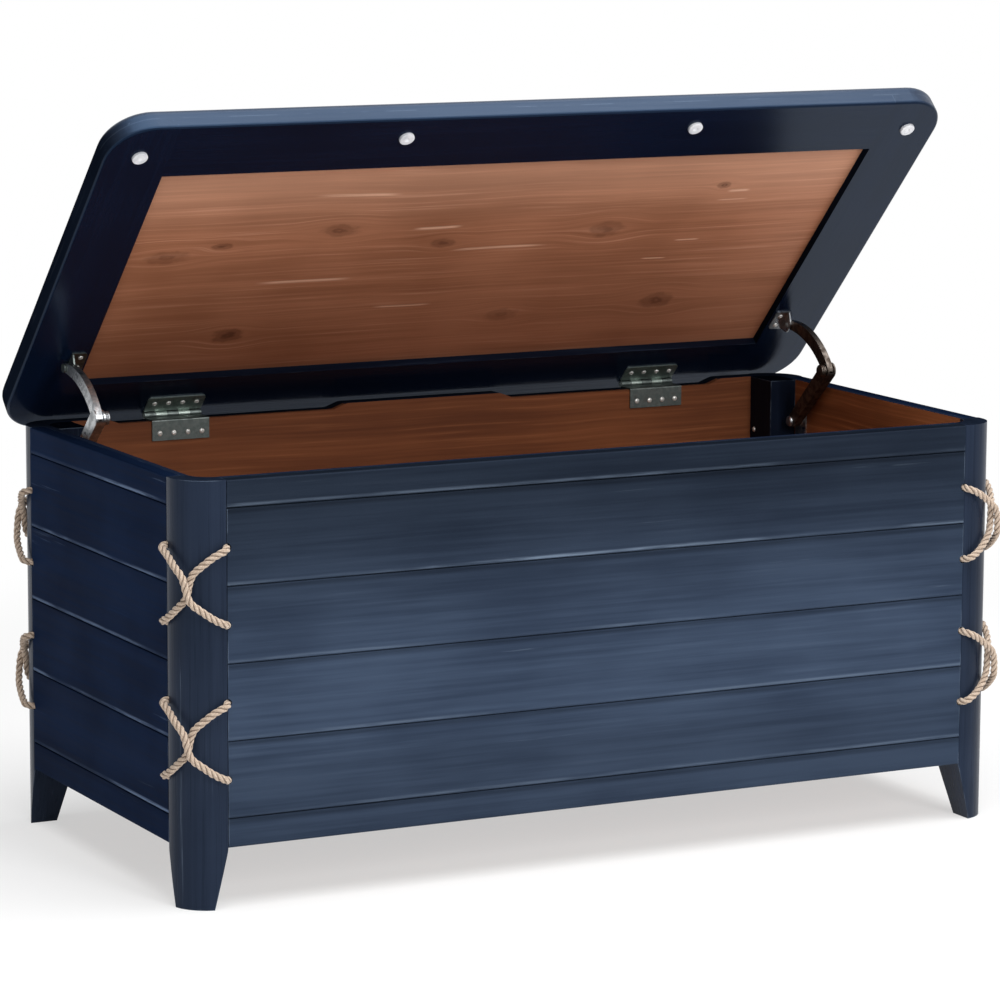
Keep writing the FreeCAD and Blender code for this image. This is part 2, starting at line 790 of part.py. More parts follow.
def lid_bracket():
    """Angle under the lid, closed, with the rivet that the upper arm turns on."""
    near = stay_lid_pivot_reach - lid_bracket_width / 2
    far = stay_lid_pivot_reach + lid_bracket_width / 2
    low = lid_underside - lid_bracket_thickness
    base_end = bracket_face - lid_bracket_depth
    plan = [
        (side_point(bracket_face, near, low), 0),
        (side_point(bracket_face, far, low), 0),
        (side_point(base_end, far, low), lid_bracket_round),
        (side_point(base_end, near, low), lid_bracket_round),
    ]
    base = rounded_face(plan).extrude(UP * lid_bracket_thickness)
    base = bored(base, lid_bracket_screws(), -UP)
    pivot = side_point(bracket_face, stay_lid_pivot_reach, -stay_lid_pivot_drop)
    ear_radius = upper_arm_lid_radius + lid_bracket_thickness
    ear_low = -stay_lid_pivot_drop - ear_radius
    ear_corners = [
        (side_point(bracket_face, near, low + lid_bracket_thickness), 0),
        (side_point(bracket_face, far, low + lid_bracket_thickness), 0),
        (side_point(bracket_face, stay_lid_pivot_reach + ear_radius, ear_low), lid_bracket_round),
        (side_point(bracket_face, stay_lid_pivot_reach - ear_radius, ear_low), lid_bracket_round),
    ]
    ear = rounded_face(ear_corners).extrude(ACROSS * -lid_bracket_thickness)
    head_start = pivot + ACROSS * (upper_outer - bracket_face + stay_arm_gap)
    shank = rod(lid_rivet_radius, pivot, head_start)
    head = rod(lid_rivet_head_radius, head_start, head_start + ACROSS * lid_rivet_head_height)
    return base.fuse([ear, shank, head]).removeSplitter()


def case_screws():
    """Screws of the case leaves, the wall brackets and the corner blocks."""
    leaf_screw = screw(leaf_thickness)
    screws = [put(leaf_screw, point, -INWARD) for point in case_leaf_screws()]
    screws += [put(leaf_screw, point, -ACROSS) for point in wall_plate_screws()]
    block_face = inner_half_length - block_width
    rear = inner_half_depth - block_screw_inset
    seat = Vector(block_face, rear, rim_height - block_screw_drop)
    head = turned([
        (0, 0, 0),
        (screw_head_radius, 0, 0),
        (screw_head_radius, screw_head_height, screw_head_height * dome_share),
        (0, screw_head_height, 0),
    ])
    screws.append(put(head, seat, -ACROSS))
    return Part.makeCompound([twin for one in screws for twin in mirrored(one)])


def lid_screws():
    """Screws of the lid leaves and the lid brackets, with the lid closed."""
    leaf_screw = screw(leaf_thickness)
    screws = [put(leaf_screw, point, -UP) for point in lid_leaf_screws() + lid_bracket_screws()]
    return Part.makeCompound([twin for one in screws for twin in mirrored(one)])


def strand_points(shares, top, bottom):
    """Route of a strand round a post, from the hole in one seam to the hole in the other."""
    exit_reach = exit_standoff_share * rope_diameter
    points = [Vector(rope_hole_depth, post_width, top), Vector(-exit_reach, post_width, top)]
    for turn_share, drop_share, standoff_share in shares:
        angle = math.radians(90) * turn_share
        radius = post_round + standoff_share * rope_diameter
        across = post_round - radius * math.cos(angle)
        inward = post_round - radius * math.sin(angle)
        points.append(Vector(across, inward, top + (bottom - top) * drop_share))
    points += [Vector(post_width, -exit_reach, bottom), Vector(post_width, rope_hole_depth, bottom)]
    return points


def cord(points, diameter):
    """Round cord along straight runs joined by tangent arcs, with the least radius of its arcs."""
    edges = []
    radii = []
    length = 0
    last = points[0]
    for before, corner, after in zip(points, points[1:], points[2:]):
        reach = cord_arc_share * min((corner - before).Length, (after - corner).Length)
        start, middle, end = corner_arc(before, corner, after, reach)
        radii.append(reach * math.tan(half_angle(before, corner, after)))
        edges.append(Part.LineSegment(last, start).toShape())
        edges.append(Part.Arc(start, middle, end).toShape())
        last = end
    edges.append(Part.LineSegment(last, points[-1]).toShape())
    path = Part.Wire(edges)
    section = Part.Wire(Part.makeCircle(diameter / 2, points[0], points[1] - points[0]))
    tube = path.makePipeShell([section], True, False)
    plain = path.Length * math.pi * diameter ** 2 / 4
    print("cord length", round(path.Length, 1), "least radius", round(min(radii), 1),
          "volume over section times length", round(tube.Volume / plain, 4))
    return tube


def lashing():
    """The two crosses of a post: on each, one strand lies over the other."""
    strands = []
    for row in (0, 2):
        top = plank_middle(row)
        bottom = plank_middle(row + 1)
        strands.append(cord(strand_points(outer_strand_shares, top, bottom), rope_diameter))
        strands.append(cord(strand_points(inner_strand_shares, bottom, top), rope_diameter))
    return Part.makeCompound(strands)


def case_nodes():
    """Nodes of the case, with the hardware and rope that it holds."""
    nodes = {}
    for name, (turn, side_x, side_y) in posts.items():
        nodes[f"{name}_post"] = placed(post(), post_place(turn, side_x, side_y))
    post_solids = list(nodes.values())
    for name, (turn, reach, run) in walls.items():
        nodes.update(wall_boards(name, turn, reach, run))
        nodes[f"{name}_lining"] = lining(name, turn, reach, run)
    nodes["floor_panel"] = floor_panel(post_solids)
    nodes["floor_cleats"] = floor_cleats()
    nodes["rear_corner_blocks"] = corner_blocks()
    nodes["hinge_case_leaves"] = hinge_case_leaves()
    nodes["hinge_pins"] = hinge_pins()
    nodes["case_screws"] = case_screws()
    lashings = lashing()
    for name, (turn, side_x, side_y) in posts.items():
        nodes[f"{name}_lashings"] = placed(lashings, post_place(turn, side_x, side_y))
    return nodes


def lid_nodes():
    """Nodes that turn with the lid, opened to their place at rest."""
    nodes = lid_boards()
    nodes["lid_bumpers"] = lid_bumpers()
    nodes["hinge_lid_leaves"] = hinge_lid_leaves()
    nodes["lid_screws"] = lid_screws()
    right, left = mirrored(lid_bracket())
    nodes["right_stay_lid_bracket"] = right
    nodes["left_stay_lid_bracket"] = left
    return {name: opened(shape) for name, shape in nodes.items()}


def stay_nodes():
    """Wall brackets and arms of both stays at rest."""
    nodes = {}
    pieces = {"wall_bracket": wall_bracket(), "lower_arm": lower_arm(), "upper_arm": upper_arm()}
    for name, shape in pieces.items():
        right, left = mirrored(shape)
        nodes[f"right_stay_{name}"] = right
        nodes[f"left_stay_{name}"] = left
    return nodes


def overall_middle(shapes):
    """Middle of all the shapes along Y, which is where the origin lies."""
    boxes = [shape.optimalBoundingBox(False, False) for shape in shapes]
    return (min(box.YMin for box in boxes) + max(box.YMax for box in boxes)) / 2


def main():
    """Write every node as a STEP file, its origin below the middle of the whole chest."""
    nodes = {**case_nodes(), **lid_nodes(), **stay_nodes()}
    middle = overall_middle(nodes.values())
    print("nodes", len(nodes), "case set forward by", round(middle, 3))
    for label, point in (("hinge", side_point(0, 0, 0)), ("wall pivot", wall_pivot(0)),
                         ("lid pivot", lid_pivot(0)), ("elbow", elbow(0))):
        print(label, "y", round(point.y - middle, 3), "z", round(point.z, 3))
    os.makedirs("parts", exist_ok=True)
    for name, shape in nodes.items():
        shape.translate(Vector(0, -middle, 0))
        shape.exportStep(f"parts/{name}.step")


main()
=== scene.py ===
"""Looks of the storage chest: paint, cedar, metal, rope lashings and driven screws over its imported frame."""

from __future__ import annotations

import logging
import math
from dataclasses import dataclass, field
from enum import Enum
from functools import partial, reduce

import bmesh
import bpy
from mathutils import Matrix, Vector
from mathutils.kdtree import KDTree

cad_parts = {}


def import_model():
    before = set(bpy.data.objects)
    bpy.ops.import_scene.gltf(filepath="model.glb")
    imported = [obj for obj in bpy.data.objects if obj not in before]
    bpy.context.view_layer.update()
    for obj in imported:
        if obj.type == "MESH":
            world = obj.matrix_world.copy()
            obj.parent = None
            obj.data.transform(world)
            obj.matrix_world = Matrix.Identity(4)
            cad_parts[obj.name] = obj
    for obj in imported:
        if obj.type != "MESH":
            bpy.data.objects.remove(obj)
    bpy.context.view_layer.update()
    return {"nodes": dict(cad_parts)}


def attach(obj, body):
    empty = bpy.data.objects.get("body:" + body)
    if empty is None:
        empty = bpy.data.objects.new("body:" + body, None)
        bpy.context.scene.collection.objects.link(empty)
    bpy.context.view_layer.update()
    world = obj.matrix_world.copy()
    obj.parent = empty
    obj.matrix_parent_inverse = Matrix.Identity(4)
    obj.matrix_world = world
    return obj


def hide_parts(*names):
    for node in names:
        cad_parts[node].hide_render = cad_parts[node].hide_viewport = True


log = logging.getLogger("storage_chest")

Colour = tuple[float, float, float]
Point = tuple[float, float, float]
Span = tuple[float, float]
Frame = tuple[Vector, Vector]
Seat = tuple[Vector, Vector]
Socket = bpy.types.NodeSocket
Value = Socket | float

QUARTER = math.radians(90.0)
WHITE = (1.0, 1.0, 1.0, 1.0)

# Angle at which the lid stands open, and the middle of its hinge axis
TILT = math.radians(45.5)
HINGE = Vector((0.0, 0.251797, 0.4904))

# Scale of an even pattern on each axis, and of strokes across the grain
PLAIN = (1.0, 1.0, 1.0)
FINE = 40.0


class Grain(Enum):
    """Direction in which a board's grain and brush strokes run: patterns are finer across it."""

    ACROSS = (1.0, FINE, FINE)
    DEEP = (FINE, 1.0, FINE)
    UPRIGHT = (FINE, FINE, 1.0)


class Wall(Enum):
    """The four walls of the case."""

    FRONT = "front"
    RIGHT = "right"
    BACK = "back"
    LEFT = "left"


def srgb(red: float, green: float, blue: float) -> Colour:
    """Linear colour of a colour that is given as it looks, from 0 to 255."""
    shares = [part / 255.0 for part in (red, green, blue)]
    return tuple(s / 12.92 if s <= 0.04045 else ((s + 0.055) / 1.055) ** 2.4 for s in shares)


@dataclass
class Graph:
    """Wiring of one material's nodes."""

    name: str
    material: bpy.types.Material = field(init=False)
    shader: bpy.types.Node = field(init=False)

    def __post_init__(self) -> None:
        """Make the material with its shader."""
        self.material = bpy.data.materials.new(self.name)
        self.material.use_nodes = True
        self.shader = self.material.node_tree.nodes["Principled BSDF"]

    def add(self, kind: str, **settings: object) -> bpy.types.Node:
        """Add a node.

        Args:
            kind: Blender's name of the node type.
            **settings: Properties to set on it.

        Returns:
            The new node.
        """
        node = self.material.node_tree.nodes.new(kind)
        for key, value in settings.items():
            setattr(node, key, value)
        return node

    def feed(self, socket: Socket, value: Value | Colour | Vector) -> None:
        """Link a socket to another, or set it to a constant.

        Args:
            socket: Input socket to feed.
            value: Output socket, number, colour or vector.
        """
        if isinstance(value, Socket):
            self.material.node_tree.links.new(value, socket)
        elif socket.type == "RGBA" and not isinstance(value, float):
            socket.default_value = (*value, 1.0)
        else:
            socket.default_value = value

    def mapping(self, vector: Socket, kind: str, setting: Point | Vector) -> Socket:
        """Coordinates that are moved, turned or stretched.

        Args:
            vector: Coordinates to start from.
            kind: Location, Rotation or Scale.
            setting: Amount along or about each axis.

        Returns:
            The new coordinates.
        """
        node = self.add("ShaderNodeMapping")
        self.feed(node.inputs["Vector"], vector)
        node.inputs[kind].default_value = setting
        return node.outputs[0]

    def place(self, stretch: Point = PLAIN, tilt: float = 0.0) -> Socket:
        """Object coordinates, laid back by a tilt about the hinge axis and then stretched.

        Args:
            stretch: Scale along each axis.
            tilt: Angle by which the piece stands open.

        Returns:
            The coordinates.
        """
        vector = self.add("ShaderNodeTexCoord").outputs["Object"]
        if tilt:
            vector = self.mapping(vector, "Location", -HINGE)
            vector = self.mapping(vector, "Rotation", (tilt, 0.0, 0.0))
        return self.mapping(vector, "Scale", stretch)

    def normal(self) -> Socket:
        """Direction that the surface faces, in the object's own axes."""
        return self.add("ShaderNodeTexCoord").outputs["Normal"]

    def split(self, vector: Socket) -> bpy.types.NodeOutputs:
        """The X, Y and Z of a vector."""
        node = self.add("ShaderNodeSeparateXYZ")
        self.feed(node.inputs[0], vector)
        return node.outputs

    def dot(self, first: Socket, second: Socket | Vector) -> Socket:
        """How far two directions agree, from -1 to 1.

        Args:
            first: First direction.
            second: Second direction.

        Returns:
            Their dot product.
        """
        node = self.add("ShaderNodeVectorMath", operation="DOT_PRODUCT")
        self.feed(node.inputs[0], first)
        self.feed(node.inputs[1], second)
        return node.outputs["Value"]

    def math(self, operation: str, first: Value, second: Value = 0.0) -> Socket:
        """Result of one sum.

        Args:
            operation: Blender's name of the operation.
            first: First number.
            second: Second number.

        Returns:
            The result.
        """
        node = self.add("ShaderNodeMath", operation=operation)
        self.feed(node.inputs[0], first)
        self.feed(node.inputs[1], second)
        return node.outputs[0]

    def times(self, *factors: Value) -> Value:
        """All the numbers multiplied."""
        return reduce(partial(self.math, "MULTIPLY"), factors)

    def plus(self, *parts: Value) -> Value:
        """All the numbers added."""
        return reduce(partial(self.math, "ADD"), parts)

    def minus(self, first: Value, second: Value) -> Socket:
        """The first number less the second."""
        return self.math("SUBTRACT", first, second)

    def weighted(self, *parts: tuple[Value, float]) -> Value:
        """Sum of numbers that each come with their weight."""
        return self.plus(*(self.times(value, weight) for value, weight in parts))

    def apart(self, value: Value, middle: float) -> Socket:
        """How far a number lies from a middle, to either side."""
        return self.math("ABSOLUTE", self.minus(value, middle))

    def hypotenuse(self, first: Value, second: Value) -> Socket:
        """Length of two numbers at right angles."""
        squares = [self.math("POWER", value, 2.0) for value in (first, second)]
        return self.math("SQRT", self.plus(*squares))

    def noise(self, vector: Socket, scale: float, detail: float) -> Socket:
        """Soft noise.

        Args:
            vector: Coordinates.
            scale: Scale of its largest forms.
            detail: Octaves.

        Returns:
            The noise, about 0.5.
        """
        node = self.add("ShaderNodeTexNoise")
        self.feed(node.inputs["Vector"], vector)
        node.inputs["Scale"].default_value = scale
        node.inputs["Detail"].default_value = detail
        return node.outputs["Fac"]

    def swing(self, noise: Socket, size: float) -> Value:
        """Noise brought about zero and given a size."""
        return self.times(self.minus(noise, 0.5), size)

    def band(self, value: Value, low: float, high: float, start: float = 0.0, end: float = 1.0) -> Socket:
        """Smooth step of a value.

        Args:
            value: Value to step.
            low: Where the step starts; above high, it falls.
            high: Where it ends.
            start: Result before the step.
            end: Result after it.

        Returns:
            The stepped value.
        """
        node = self.add("ShaderNodeMapRange", interpolation_type="SMOOTHSTEP")
        sockets = ("Value", "From Min", "From Max", "To Min", "To Max")
        for name, given in zip(sockets, (value, low, high, start, end)):
            self.feed(node.inputs[name], given)
        return node.outputs[0]

    def mix(self, share: Value, first: Value | Colour, second: Value | Colour, blend: str = "MIX") -> Socket:
        """Mix of two colours.

        Args:
            share: Share of the second colour.
            first: First colour.
            second: Second colour.
            blend: Blender's name of the way they mix.

        Returns:
            The mixed colour.
        """
        node = self.add("ShaderNodeMix", data_type="RGBA", blend_type=blend)
        self.feed(node.inputs[0], share)
        self.feed(node.inputs[6], first)
        self.feed(node.inputs[7], second)
        return node.outputs[2]

    def lit(self, colour: Socket, light: Value) -> Socket:
        """A colour times the share of light left on it."""
        return self.mix(1.0, colour, light, "MULTIPLY")

    def mixed(self, share: Value, first: Value, second: Value) -> Socket:
        """Mix of two numbers.

        Args:
            share: Share of the second number.
            first: First number.
            second: Second number.

        Returns:
            The mixed number.
        """
        node = self.add("ShaderNodeMix", data_type="FLOAT")
        self.feed(node.inputs[0], share)
        self.feed(node.inputs[2], first)
        self.feed(node.inputs[3], second)
        return node.outputs[0]

    def relief(self, height: Socket, depth: float) -> None:
        """Raise the surface by a height whose unit is a depth in metres."""
        node = self.add("ShaderNodeBump")
        self.feed(node.inputs["Height"], height)
        node.inputs["Distance"].default_value = depth
        node.inputs["Strength"].default_value = 1.0
        self.feed(self.shader.inputs["Normal"], node.outputs[0])

    def set(self, **values: Value | Colour) -> None:
        """Feed the shader's sockets, named with underscores for spaces."""
        for key, value in values.items():
            self.feed(self.shader.inputs[key.replace("_", " ")], value)


@dataclass(frozen=True)
class NavyPaint:
    """Brushed navy paint, a little rubbed at its edges, with painted shade where set: below seams, at the top
    and foot of boards, on the lid's ends, on tops and on the lid's underside.
    """

    name: str
    grain: Grain
    tilt: float = 0.0
    planked: bool = False
    deep: Colour = srgb(43, 54, 72)
    body: Colour = srgb(60, 73, 93)
    worn: Colour = srgb(72, 84, 103)
    bare: Colour = srgb(126, 142, 162)
    # Near-black colour of faces turned down: painted shade on the lid's underside
    under: Colour | None = None
    tint: Colour = srgb(196, 220, 255)
    wear: float = 0.4
    rubbed_share: float = 0.35
    dash_share: float = 0.3
    # Share of painted shade on the lid's ends and on tops elsewhere
    face_shade: float = 0.5
    roughness: float = 0.5
    gloss: float = 0.06
    under_lift: float = 1.5
    under_roughness: float = 0.2
    under_gloss: float = 0.24
    tone_span: Span = (0.36, 0.62)
    shaded_matt_span: Span = (0.5, 0.95)
    under_span: Span = (0.45, 0.85)
    arris_span: Span = (0.995, 0.9)
    arris_radius: float = 0.002
    stroke_depth: float = 0.00022
    seam_wear: float = 0.6
    other_seams: float = 0.45
    # Share of painted shade in the strip just below each seam
    seam_shadow_share: float = 0.42
    top_light: float = 1.0
    plank_pitch: float = 0.089
    lowest_seam: float = 0.105
    line_start: Span = (0.0004, 0.002)
    line_end: Span = (0.006, 0.003)
    line_height: float = 0.003
    bright_seam: float = 0.372
    bright_reach: Span = (0.012, 0.008)
    seam_shadow_reach: Span = (0.0085, 0.0035)
    top_span: Span = (0.25, 0.49)
    foot_span: Span = (0.21, 0.13)

    def material(self) -> bpy.types.Material:
        """Build the paint.

        Returns:
            The finished material.
        """
        g = Graph(self.name)
        streaks = g.place(self.grain.value, self.tilt)
        cloud = g.noise(g.place((1.0, 2.0, 2.0), self.tilt), 4.0, 3.0)
        broad = g.noise(streaks, 0.9, 4.0)
        brush = g.noise(streaks, 5.5, 5.0)
        hair = g.noise(streaks, 22.0, 3.0)
        tone = g.band(g.weighted((broad, 0.35), (brush, 0.25), (cloud, 0.4)), *self.tone_span)
        colour = g.mix(tone, self.deep, self.body)
        rubbed = g.times(g.band(brush, 0.58, 0.76), g.band(cloud, 0.48, 0.66), self.rubbed_share)
        colour = g.mix(rubbed, colour, self.worn)
        marks = g.band(g.noise(streaks, 3.1, 2.0), 0.7, 0.78)
        dashes = g.times(marks, g.band(hair, 0.46, 0.6), self.dash_share)
        colour = g.mix(dashes, colour, self.bare)
        # Painted shade on the planked boards: below each seam, at the top and at the foot
        if self.planked:
            colour = g.lit(colour, self.seam_shade(g, hair))
        colour = g.mix(self.edge_wear(g, hair), colour, self.bare)
        # Painted shade: the lid's two ends and the tops of other pieces are darkened and lose their gloss
        shaded_matt = self.shaded_matt_faces(g)
        colour = g.lit(colour, g.minus(1.0, g.times(shaded_matt, self.face_shade)))
        gloss = g.mixed(shaded_matt, self.gloss, 0.0)
        rough = g.band(brush, 0.3, 0.75, self.roughness - 0.05, self.roughness + 0.1)
        # Painted shade: faces turned down take the near-black underside colour
        if self.under:
            below = self.facing_down(g)
            lifted = tuple(self.under_lift * part for part in self.under)
            colour = g.mix(below, colour, g.mix(tone, self.under, lifted))
            rough = g.mixed(below, rough, self.under_roughness)
            gloss = g.mixed(below, gloss, self.under_gloss)
        g.set(Base_Color=colour, Roughness=rough, Specular_IOR_Level=gloss, Specular_Tint=self.tint)
        g.relief(g.weighted((brush, 0.6), (hair, 0.4)), self.stroke_depth)
        return g.material

    def shaded_matt_faces(self, g: Graph) -> Socket:
        """Share that is 1 where the paint gets painted shade and no gloss: the lid's two ends, and tops
        elsewhere.
        """
        normal = g.split(g.normal())
        return g.band(g.math("ABSOLUTE", normal[0]) if self.tilt else normal[2], *self.shaded_matt_span)

    def facing_down(self, g: Graph) -> Socket:
        """Share that is 1 on the lid's underside and 0 on its edges and top."""
        down = Matrix.Rotation(-self.tilt, 3, "X") @ Vector((0.0, 0.0, -1.0))
        return g.band(g.dot(g.normal(), down), *self.under_span)

    def edge_wear(self, g: Graph, hair: Socket) -> Socket:
        """Where the paint is rubbed through at arrises and along the seams.

        Args:
            g: Wiring of the paint.
            hair: Finest brush noise.

        Returns:
            Share of bare, lighter paint.
        """
        rounded = g.add("ShaderNodeBevel", samples=6)
        rounded.inputs["Radius"].default_value = self.arris_radius
        flat = g.add("ShaderNodeNewGeometry").outputs["Normal"]
        arris = g.band(g.dot(rounded.outputs[0], flat), *self.arris_span)
        patches = g.noise(g.place(PLAIN, self.tilt), 26.0, 3.0)
        wear = g.times(arris, g.band(patches, 0.46, 0.62), self.wear)
        if not self.planked:
            return wear
        above = self.above_seam(g)
        seam = g.times(g.band(above, *self.line_start), g.band(above, *self.line_end))
        along = g.noise(g.place((1.0, 1.0, 12.0)), 5.0, 4.0)
        strokes = g.times(g.band(along, 0.4, 0.6, 0.12, 1.0), g.band(hair, 0.3, 0.55, 0.4, 1.0))
        from_bright = g.apart(g.split(g.place())[2], self.bright_seam + self.line_height)
        bright = g.band(from_bright, *self.bright_reach, self.other_seams, 1.0)
        return g.math("MAXIMUM", wear, g.times(seam, strokes, bright, self.seam_wear))

    def above_seam(self, g: Graph) -> Socket:
        """Height above the nearest seam below."""
        height = g.minus(g.split(g.place())[2], self.lowest_seam - self.plank_pitch)
        return g.math("MODULO", height, self.plank_pitch)

    def seam_shade(self, g: Graph, hair: Socket) -> Socket:
        """Light left on the boards: painted shade below each seam, at the top and at the foot.

        Args:
            g: Wiring of the paint.
            hair: Finest brush noise.

        Returns:
            Share of light.
        """
        below = g.minus(self.plank_pitch, self.above_seam(g))
        # Painted shadow in the strip just below each seam
        seam_shadow = g.times(g.band(below, *self.seam_shadow_reach), g.band(hair, 0.3, 0.6, 0.6, 1.0), self.seam_shadow_share)
        height = g.split(g.place())[2]
        top = g.band(height, *self.top_span, 1.0, self.top_light)
        foot = g.band(height, *self.foot_span, 1.0, (2.0 + self.top_light) / 3.0)
        return g.times(g.minus(1.0, seam_shadow), top, foot)


@dataclass(frozen=True)
class Knot:
    """A knot in a cedar face, by its place along the chest and up or along the face."""

    across: float
    along: float
    size: float
    dark: float
    stretch: float


@dataclass(frozen=True)
class Fleck:
    """A thin pale streak in a cedar face, from one place along the chest to another."""

    start: float
    end: float
    along: float
    width: float = 0.003


@dataclass(frozen=True)
class Cedar:
    """Oiled red cedar with knots, pores and pale flecks."""

    name: str
    grain: Grain
    tilt: float = 0.0
    knots: tuple[Knot, ...] = ()
    flecks: tuple[Fleck, ...] = ()
    pale: Colour = srgb(228, 180, 152)
    body: Colour = srgb(194, 132, 100)
    deep: Colour = srgb(150, 96, 68)
    heart: Colour = srgb(74, 38, 24)
    painted_rim: Colour = srgb(22, 30, 46)
    rim: float = 0.0
    rim_depths: Span = (0.0012, 0.0006)
    flat: bool = False
    # Painted light and shade across the panel: paler towards the lid's front edge, deeper towards the hinge
    lit_gradient: bool = False
    lit_gradient_middle: float = -0.3
    lit_gradient_front: float = -0.43
    lit_gradient_rear: float = -0.14
    painted_light_share: float = 0.3
    painted_shade_share: float = 0.22
    gloss: float = 0.2
    pore_depth: float = 0.00022
    ring_pitch: float = 9.0
    ring_share: float = 0.22

    def material(self) -> bpy.types.Material:
        """Build the wood.

        Returns:
            The finished material.
        """
        g = Graph(self.name)
        plain = g.place(PLAIN, self.tilt)
        axes = g.split(plain)
        run, rise = self.face_axes(axes)
        swirl, heart = self.knot_fields(g, run, rise)
        wander = g.swing(g.noise(plain, 2.6, 2.0), 0.02)
        bent = g.plus(rise, wander, swirl)
        bands = g.noise(self.stretched(g, run, bent, 1.0, 20.0), 1.8, 4.0)
        streaks = g.noise(self.stretched(g, run, bent, 1.3, 70.0), 3.2, 5.0)
        pores = g.noise(self.stretched(g, run, bent, 2.0, 120.0), 9.0, 4.0)
        cloud = g.noise(plain, 3.4, 3.0)
        tone = g.weighted((bands, 0.28), (streaks, 0.27), (cloud, 0.45))
        colour = g.mix(g.band(tone, 0.36, 0.64), self.deep, self.body)
        colour = g.mix(g.times(g.band(streaks, 0.56, 0.78), 0.35), colour, self.pale)
        colour = g.mix(g.times(g.band(pores, 0.52, 0.74), 0.25), colour, self.deep)
        # Painted light towards the panel's front edge and painted shade towards the hinge
        if self.lit_gradient:
            front = g.band(rise, self.lit_gradient_middle, self.lit_gradient_front, 0.0, self.painted_light_share)
            colour = g.mix(front, colour, self.pale)
            rear = g.band(rise, self.lit_gradient_middle, self.lit_gradient_rear, 0.0, self.painted_shade_share)
            colour = g.mix(rear, colour, self.deep)
        colour = g.mix(self.fleck_field(g, run, g.plus(rise, wander), streaks), colour, self.pale)
        colour = g.mix(heart, colour, self.heart)
        gloss: Value = self.gloss
        if self.rim:
            high = g.band(axes[2], *(self.rim - depth for depth in self.rim_depths))
            top = g.times(high, g.band(g.split(g.normal())[2], 0.5, 0.7))
            colour = g.mix(top, colour, self.painted_rim)
            gloss = g.mixed(top, gloss, 0.0)
        g.set(Base_Color=colour, Roughness=g.band(pores, 0.3, 0.7, 0.5, 0.64), Specular_IOR_Level=gloss)
        g.relief(g.weighted((streaks, 0.4), (pores, 0.6)), self.pore_depth)
        return g.material

    def face_axes(self, axes: bpy.types.NodeOutputs) -> tuple[Socket, Socket]:
        """The coordinate along the grain and the one across it.

        Args:
            axes: X, Y and Z of the place.

        Returns:
            Both coordinates.
        """
        if self.tilt or self.flat:
            return axes[0], axes[1]
        return (axes[1] if self.grain is Grain.DEEP else axes[0]), axes[2]

    def stretched(self, g: Graph, run: Value, rise: Value, along: float, across: float) -> Socket:
        """A vector of the two coordinates of the face, each with its own scale.

        Args:
            g: Wiring of the wood.
            run: Coordinate along the grain.
            rise: Coordinate across it.
            along: Scale along the grain.
            across: Scale across it.

        Returns:
            The vector.
        """
        node = g.add("ShaderNodeCombineXYZ")
        g.feed(node.inputs[0], g.times(run, along))
        g.feed(node.inputs[1], g.times(rise, across))
        return node.outputs[0]

    def knot_fields(self, g: Graph, run: Socket, rise: Socket) -> tuple[Value, Value]:
        """How the knots bend the grain, and how dark their hearts are.

        Args:
            g: Wiring of the wood.
            run: Coordinate along the grain.
            rise: Coordinate across it.

        Returns:
            Shift of the grain, and share of the dark heart.
        """
        swirl: Value = 0.0
        heart: Value = 0.0
        uneven = g.swing(g.noise(self.stretched(g, run, rise, 1.0, 1.6), 60.0, 2.0), 0.9)
        for knot in self.knots:
            across = g.math("DIVIDE", g.minus(run, knot.across), knot.size * knot.stretch)
            along = g.math("DIVIDE", g.minus(rise, knot.along), knot.size)
            away = g.hypotenuse(across, along)
            swirl = g.plus(swirl, g.times(along, g.band(away, 3.2, 0.4), -knot.size * 0.75))
            ragged = g.plus(away, uneven)
            wave = g.math("SINE", g.times(ragged, self.ring_pitch))
            rings = g.plus(g.times(wave, self.ring_share), 1.0 - self.ring_share)
            heart = g.math("MAXIMUM", heart, g.times(g.band(ragged, 1.15, 0.45), rings, knot.dark))
        return swirl, heart

    def fleck_field(self, g: Graph, run: Value, rise: Value, streaks: Socket) -> Value:
        """Share of the pale flecks.

        Args:
            g: Wiring of the wood.
            run: Coordinate along the grain.
            rise: Coordinate across it.
            streaks: Noise that frays them.

        Returns:
            The share.
        """
        share: Value = 0.0
        for fleck in self.flecks:
            half = (fleck.end - fleck.start) / 2
            lengthwise = g.band(g.apart(run, (fleck.start + fleck.end) / 2), half, half * 0.5)
            sideways = g.band(g.apart(rise, fleck.along), fleck.width, fleck.width * 0.3)
            share = g.math("MAXIMUM", share, g.times(lengthwise, sideways))
        return g.times(share, g.band(streaks, 0.36, 0.56, 0.25, 1.0))


@dataclass(frozen=True)
class Metal:
    """Plated steel with a soft brushed grain and a little tarnish."""

    name: str
    bright: Colour
    dull: Colour
    roughness: float
    grain: Grain = Grain.ACROSS
    metallic: float = 1.0
    relief_depth: float = 0.00008

    def material(self) -> bpy.types.Material:
        """Build the metal.

        Returns:
            The finished material.
        """
        g = Graph(self.name)
        brushed = g.noise(g.place(self.grain.value), 30.0, 3.0)
        stain = g.noise(g.place(), 120.0, 4.0)
        colour = g.mix(g.band(stain, 0.38, 0.62), self.dull, self.bright)
        tarnish = g.band(stain, 0.35, 0.7, self.roughness + 0.12, self.roughness - 0.05)
        g.set(Base_Color=colour, Metallic=self.metallic, Roughness=g.plus(tarnish, g.swing(brushed, 0.15)))
        g.relief(g.weighted((brushed, 0.5), (stain, 0.5)), self.relief_depth)
        return g.material


